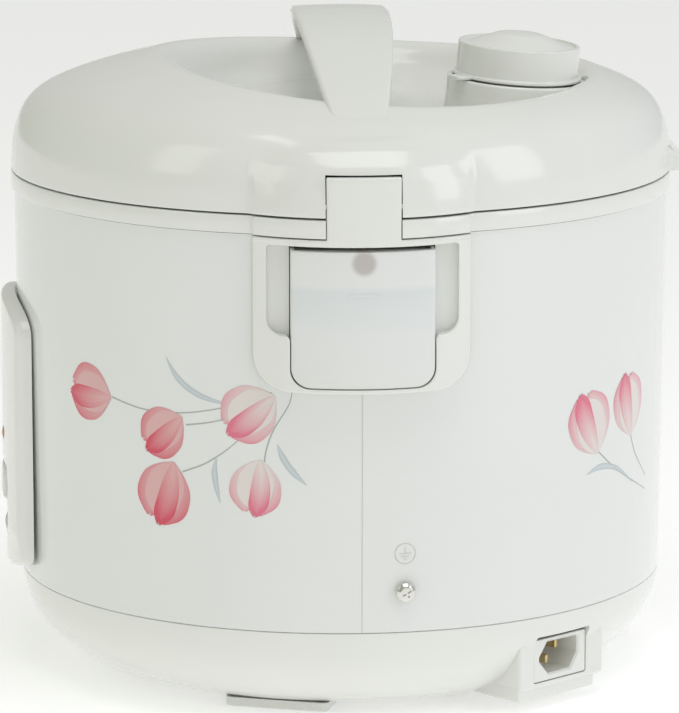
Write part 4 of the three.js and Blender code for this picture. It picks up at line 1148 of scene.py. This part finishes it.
def petal_grid(width, height, lean, belly, notch, rows=24, cols=17):
    """A petal from its foot at (0, 0) to its tip, fullest at the share "belly" and leaning sideways."""
    grid = np.zeros((rows, cols, 2))
    for i, t in enumerate(np.linspace(0, 1, rows)):
        swell = t / belly if t < belly else 1 - ((t - belly) / (1 - belly)) ** 2 * 0.97
        half = width / 2 * max(math.sin(swell * math.pi / 2), 0.03) ** 0.7
        for j, s in enumerate(np.linspace(-1, 1, cols)):
            ragged = notch * height * math.cos(2.5 * math.pi * s) * t ** 6
            grid[i, j] = (lean * math.sin(t * math.pi * 0.75) + s * half, t * height + ragged)
    return grid


def petal_colours(grid, rim, heart, tip_share, seed):
    """Ink colours for a petal: the heart colour from the foot, the rim colour at the edges and the tip."""
    rows, cols = grid.shape[:2]
    veins = np.random.default_rng(seed).uniform(0.0, 0.22, cols)
    colours = []
    for i in range(rows):
        t = i / (rows - 1)
        for j in range(cols):
            s = 2 * j / (cols - 1) - 1
            share = 0.12 + 0.55 * abs(s) ** 2.2 * (0.4 + 0.6 * t) + tip_share * t ** 1.7 - veins[j] * (1 - t)
            share = min(max(share, 0), 1)
            colours.append((*(np.array(heart) * (1 - share) + np.array(rim) * share), 1.0))
    return colours


def printed(name, parts):
    """One printed piece from (shape, colours) parts."""
    verts, faces = gathered(*(shape for shape, _ in parts))
    mesh = bpy.data.meshes.new(name)
    mesh.from_pydata([tuple(c * MM for c in v) for v in verts], [], faces)
    layer = mesh.color_attributes.new("ink", "FLOAT_COLOR", "POINT")
    layer.data.foreach_set("color", np.array([c for _, colours in parts for c in colours], float).ravel())
    piece(name, mesh, "root", "painted_sheet", finish="print_ink")


RED_INK, ROSE_INK = (0.66, 0.05, 0.10), (0.74, 0.16, 0.25)
BLUSH_INK, PALE_INK = (0.72, 0.42, 0.42), (0.76, 0.70, 0.67)
STEM_INK, LEAF_INK, LEAF_PALE = (0.42, 0.45, 0.41), (0.46, 0.52, 0.58), (0.62, 0.67, 0.68)
PRINT_LIFT = 0.05
LAYER = 0.03


def blossom(name, centre, size, tilt, rim, heart, seed):
    """A closed blossom that hangs from its foot: two side petals, a back petal and a deep front petal."""
    petals = [((13.5, 22.5, -4.2, 0.42, 0.03), rim, heart, 0.45),
              ((13.5, 22.0, 4.4, 0.42, 0.03), rim, heart, 0.25),
              ((15.0, 20.5, 0.3, 0.45, 0.02), heart, heart, 0.0),
              ((8.5, 23.2, -2.2, 0.62, 0.04), rim, heart, 0.95)]
    parts = []
    for k, (form, edge, middle, tip_share) in enumerate(petals):
        grid = petal_grid(*form)
        grid[..., 1] -= 11.5
        shape = wall_patch(grid, centre, PRINT_LIFT + LAYER * (k + 1), tilt, size)
        parts.append((shape, petal_colours(grid, edge, middle, tip_share, seed * 10 + k)))
    printed(name, parts)


def ribbon(path, widths, rows=26):
    """A tapering strip along a curve of (degrees, height) control points, as a shape."""
    path = spline(path, rows)
    mid_z = path[:, 1].mean()
    arc = math.radians(1) * wall_radius(mid_z)
    flat = np.stack([path[:, 0] * arc, path[:, 1]], 1)
    ahead = np.gradient(flat, axis=0)
    ahead /= np.linalg.norm(ahead, axis=1)[:, None]
    across = np.stack([-ahead[:, 1], ahead[:, 0]], 1)
    half = np.interp(np.linspace(0, 1, len(flat)), np.linspace(0, 1, len(widths)), widths) / 2
    left, right = flat + across * half[:, None], flat - across * half[:, None]
    verts = []
    for row in zip(left, flat, right):
        verts.extend(on_wall(math.radians(a / arc), b, PRINT_LIFT) for a, b in row)
    return verts, cells(len(flat), 3)


def ribbon_colours(shape, edge_colour, middle_colour):
    rows = len(shape[0]) // 3
    return [(*colour, 1.0) for _ in range(rows) for colour in (edge_colour, middle_colour, edge_colour)]


SPRAY = [
    # name, (degrees, height) of its middle, size, tilt of its tip from upright, rim, heart
    ("blossom_left_high", (-51.4, 137.0), 1.14, math.radians(88), RED_INK, BLUSH_INK),
    ("blossom_left_middle", (-34.9, 125.5), 1.02, math.radians(128), RED_INK, BLUSH_INK),
    ("blossom_left_low", (-34.8, 99.5), 1.22, math.radians(160), RED_INK, BLUSH_INK),
    ("blossom_right_high", (-18.8, 136.8), 1.14, math.radians(126), ROSE_INK, PALE_INK),
    ("blossom_right_low", (-17.9, 105.0), 1.04, math.radians(170), ROSE_INK, PALE_INK),
    ("blossom_side_low", (44.4, 123.0), 1.26, math.radians(20), ROSE_INK, PALE_INK),
    ("blossom_side_high", (56.4, 126.5), 1.22, math.radians(10), ROSE_INK, PALE_INK),
]
for seed, (name, centre, size, tilt, rim, heart) in enumerate(SPRAY):
    blossom(name, centre, size, tilt, rim, heart, seed + 1)

STEMS = [
    [(-46.0, 137), (-39, 134), (-31, 134.5), (-22.5, 139), (-15, 146)],
    [(-30.4, 129.5), (-26, 131.5), (-21.0, 135)],
    [(-31.2, 109), (-27, 113.5), (-23.6, 119), (-21.0, 124.5)],
    [(-16.4, 116), (-16.0, 122), (-14.8, 130), (-12.2, 141), (-11.6, 148)],
    [(46.6, 110), (51.5, 101), (57.5, 93), (64.5, 85)],
    [(57.2, 113), (59.5, 103), (64.5, 91)],
]
LEAVES = [
    ([(-34.2, 158), (-31.8, 149), (-27.6, 142.5), (-21.0, 139)], (0.15, 2.6, 2.4, 0.15)),
    ([(-24.8, 117), (-25.2, 110), (-24.8, 103), (-24.2, 97)], (0.15, 2.8, 2.2, 0.15)),
    ([(-14.2, 124), (-13.2, 118), (-11.5, 112), (-9.2, 106.5)], (0.15, 2.8, 2.8, 0.15)),
    ([(43.4, 101), (47.5, 103), (52.5, 100), (58.5, 91)], (0.15, 2.8, 2.2, 0.15)),
]
stem_parts, leaf_parts = [], []
for path in STEMS:
    shape = ribbon(path, (0.7, 0.6, 0.4))
    stem_parts.append((shape, ribbon_colours(shape, STEM_INK, STEM_INK)))
for path, widths in LEAVES:
    shape = ribbon(path, widths)
    leaf_parts.append((shape, ribbon_colours(shape, LEAF_INK, LEAF_PALE)))
printed("print_stems", stem_parts)
printed("print_leaves", leaf_parts)


def earth_symbol():
    """The generic earth sign, embossed over the earth screw: a ring with a stem and three bars."""
    centre_z, ring_radius, width = 76.8, 4.4, 0.22
    strokes = []
    turn = [2 * math.pi * k / 60 for k in range(61)]
    strokes.append([(ring_radius * math.cos(t), ring_radius * math.sin(t)) for t in turn])
    strokes.append([(0, 2.9), (0, 0.2)])
    for half, b in ((2.6, 0.1), (1.7, -1.2), (0.8, -2.4)):
        strokes.append([(-half, b), (half, b)])
    shapes = []
    for stroke in strokes:
        path = [on_wall(EARTH_ANGLE + a / WALL_TOP_RADIUS, centre_z + b, 0.02) for a, b in stroke]
        shapes.append(tube(path, width, 8))
    return gathered(*shapes)


piece("earth_symbol", earth_symbol(), "root", "painted_sheet", finish="symbol_ink")

# ---- finishes of the CAD nodes that stay shown ----
for spec in frame["record"]["subparts"]:
    if spec["node"] in frame["nodes"]:
        mesh = frame["nodes"][spec["node"]].data
        mesh.materials.clear()
        mesh.materials.append(FINISHES[spec["material_slot"]])

# ---- floor, light and camera ----
FLOOR_HALF = 6.0
FLOOR_LINES = 9
steps = np.linspace(-FLOOR_HALF, FLOOR_HALF, FLOOR_LINES)
floor_grid = [[(x, y, -0.0002) for y in steps] for x in steps]
floor_mesh = bpy.data.meshes.new("floor")
floor_mesh.from_pydata([spot for row in floor_grid for spot in row], [], cells(FLOOR_LINES, FLOOR_LINES))
floor_mesh.materials.append(FINISHES["floor"])
floor = bpy.data.objects.new("floor", floor_mesh)
bpy.context.scene.collection.objects.link(floor)

CAMERA_AZIMUTH = math.radians(-3.6)
CAMERA_ELEVATION = math.radians(11.16)
CAMERA_DISTANCE = 2.0351
CAMERA_TARGET = Vector((0, 0, 0.132))


def polar(azimuth, elevation, distance):
    flat = distance * math.cos(elevation)
    return Vector((flat * math.cos(azimuth), flat * math.sin(azimuth), distance * math.sin(elevation)))


camera_data = bpy.data.cameras.new("camera")
camera_data.lens = 229.2
camera_data.sensor_width = 36.0
camera_data.shift_x = -0.0016
camera_data.shift_y = 0.0045
camera_data.clip_end = 50.0
camera = bpy.data.objects.new("camera", camera_data)
bpy.context.scene.collection.objects.link(camera)
camera.location = CAMERA_TARGET + polar(CAMERA_AZIMUTH, CAMERA_ELEVATION, CAMERA_DISTANCE)
camera.rotation_mode = "QUATERNION"
camera.rotation_quaternion = (CAMERA_TARGET - camera.location).to_track_quat("-Z", "Y")
bpy.context.scene.camera = camera


def softbox(name, azimuth, elevation, distance, size, power, tint):
    """A square area light that faces the cooker."""
    data = bpy.data.lights.new(name, "AREA")
    data.shape = "RECTANGLE"
    data.size, data.size_y = size
    data.energy = power
    data.color = tint
    lamp = bpy.data.objects.new(name, data)
    bpy.context.scene.collection.objects.link(lamp)
    target = Vector((0, 0, 0.15))
    lamp.location = target + polar(math.radians(azimuth), math.radians(elevation), distance)
    lamp.rotation_mode = "QUATERNION"
    lamp.rotation_quaternion = (target - lamp.location).to_track_quat("-Z", "Y")


softbox("light_top", 10, 72, 1.6, (1.1, 1.1), 7, (1.0, 1.0, 0.99))
softbox("light_left", -62, 28, 1.8, (0.5, 1.1), 2, (0.99, 1.0, 0.97))
softbox("light_right", 58, 22, 1.8, (0.6, 1.2), 4, (0.95, 0.97, 1.0))

STUDIO_STRENGTH = 0.60
world = bpy.data.worlds.new("studio")
bpy.context.scene.world = world
world.use_nodes = True
tree = world.node_tree
around = tree.nodes.new("ShaderNodeTexCoord")
split = add_node(tree, "ShaderNodeSeparateXYZ", sources={"Vector": around.outputs["Generated"]})
side = add_node(tree, "ShaderNodeMapRange", {"From Min": -1.0}, {"Value": split.outputs["Y"]})
tint = add_node(tree, "ShaderNodeValToRGB", sources={"Fac": side.outputs["Result"]})
tint.color_ramp.elements[0].color = (0.50, 0.54, 0.40, 1)
tint.color_ramp.elements[1].color = (0.93, 0.96, 1.0, 1)
tint.color_ramp.elements.new(0.46).color = (0.92, 0.92, 0.88, 1)
studio = tree.nodes["Background"]
studio.inputs["Strength"].default_value = STUDIO_STRENGTH
tree.links.new(tint.outputs["Color"], studio.inputs["Color"])
backdrop = add_node(tree, "ShaderNodeBackground", {"Color": (1.0, 1.0, 1.0, 1), "Strength": 1.0})
rays = tree.nodes.new("ShaderNodeLightPath")
shown = {0: rays.outputs["Is Camera Ray"], 1: studio.outputs["Background"], 2: backdrop.outputs["Background"]}
choice = add_node(tree, "ShaderNodeMixShader", sources=shown)
tree.links.new(choice.outputs["Shader"], tree.nodes["World Output"].inputs["Surface"])
bpy.context.scene.view_settings.view_transform = "Standard"
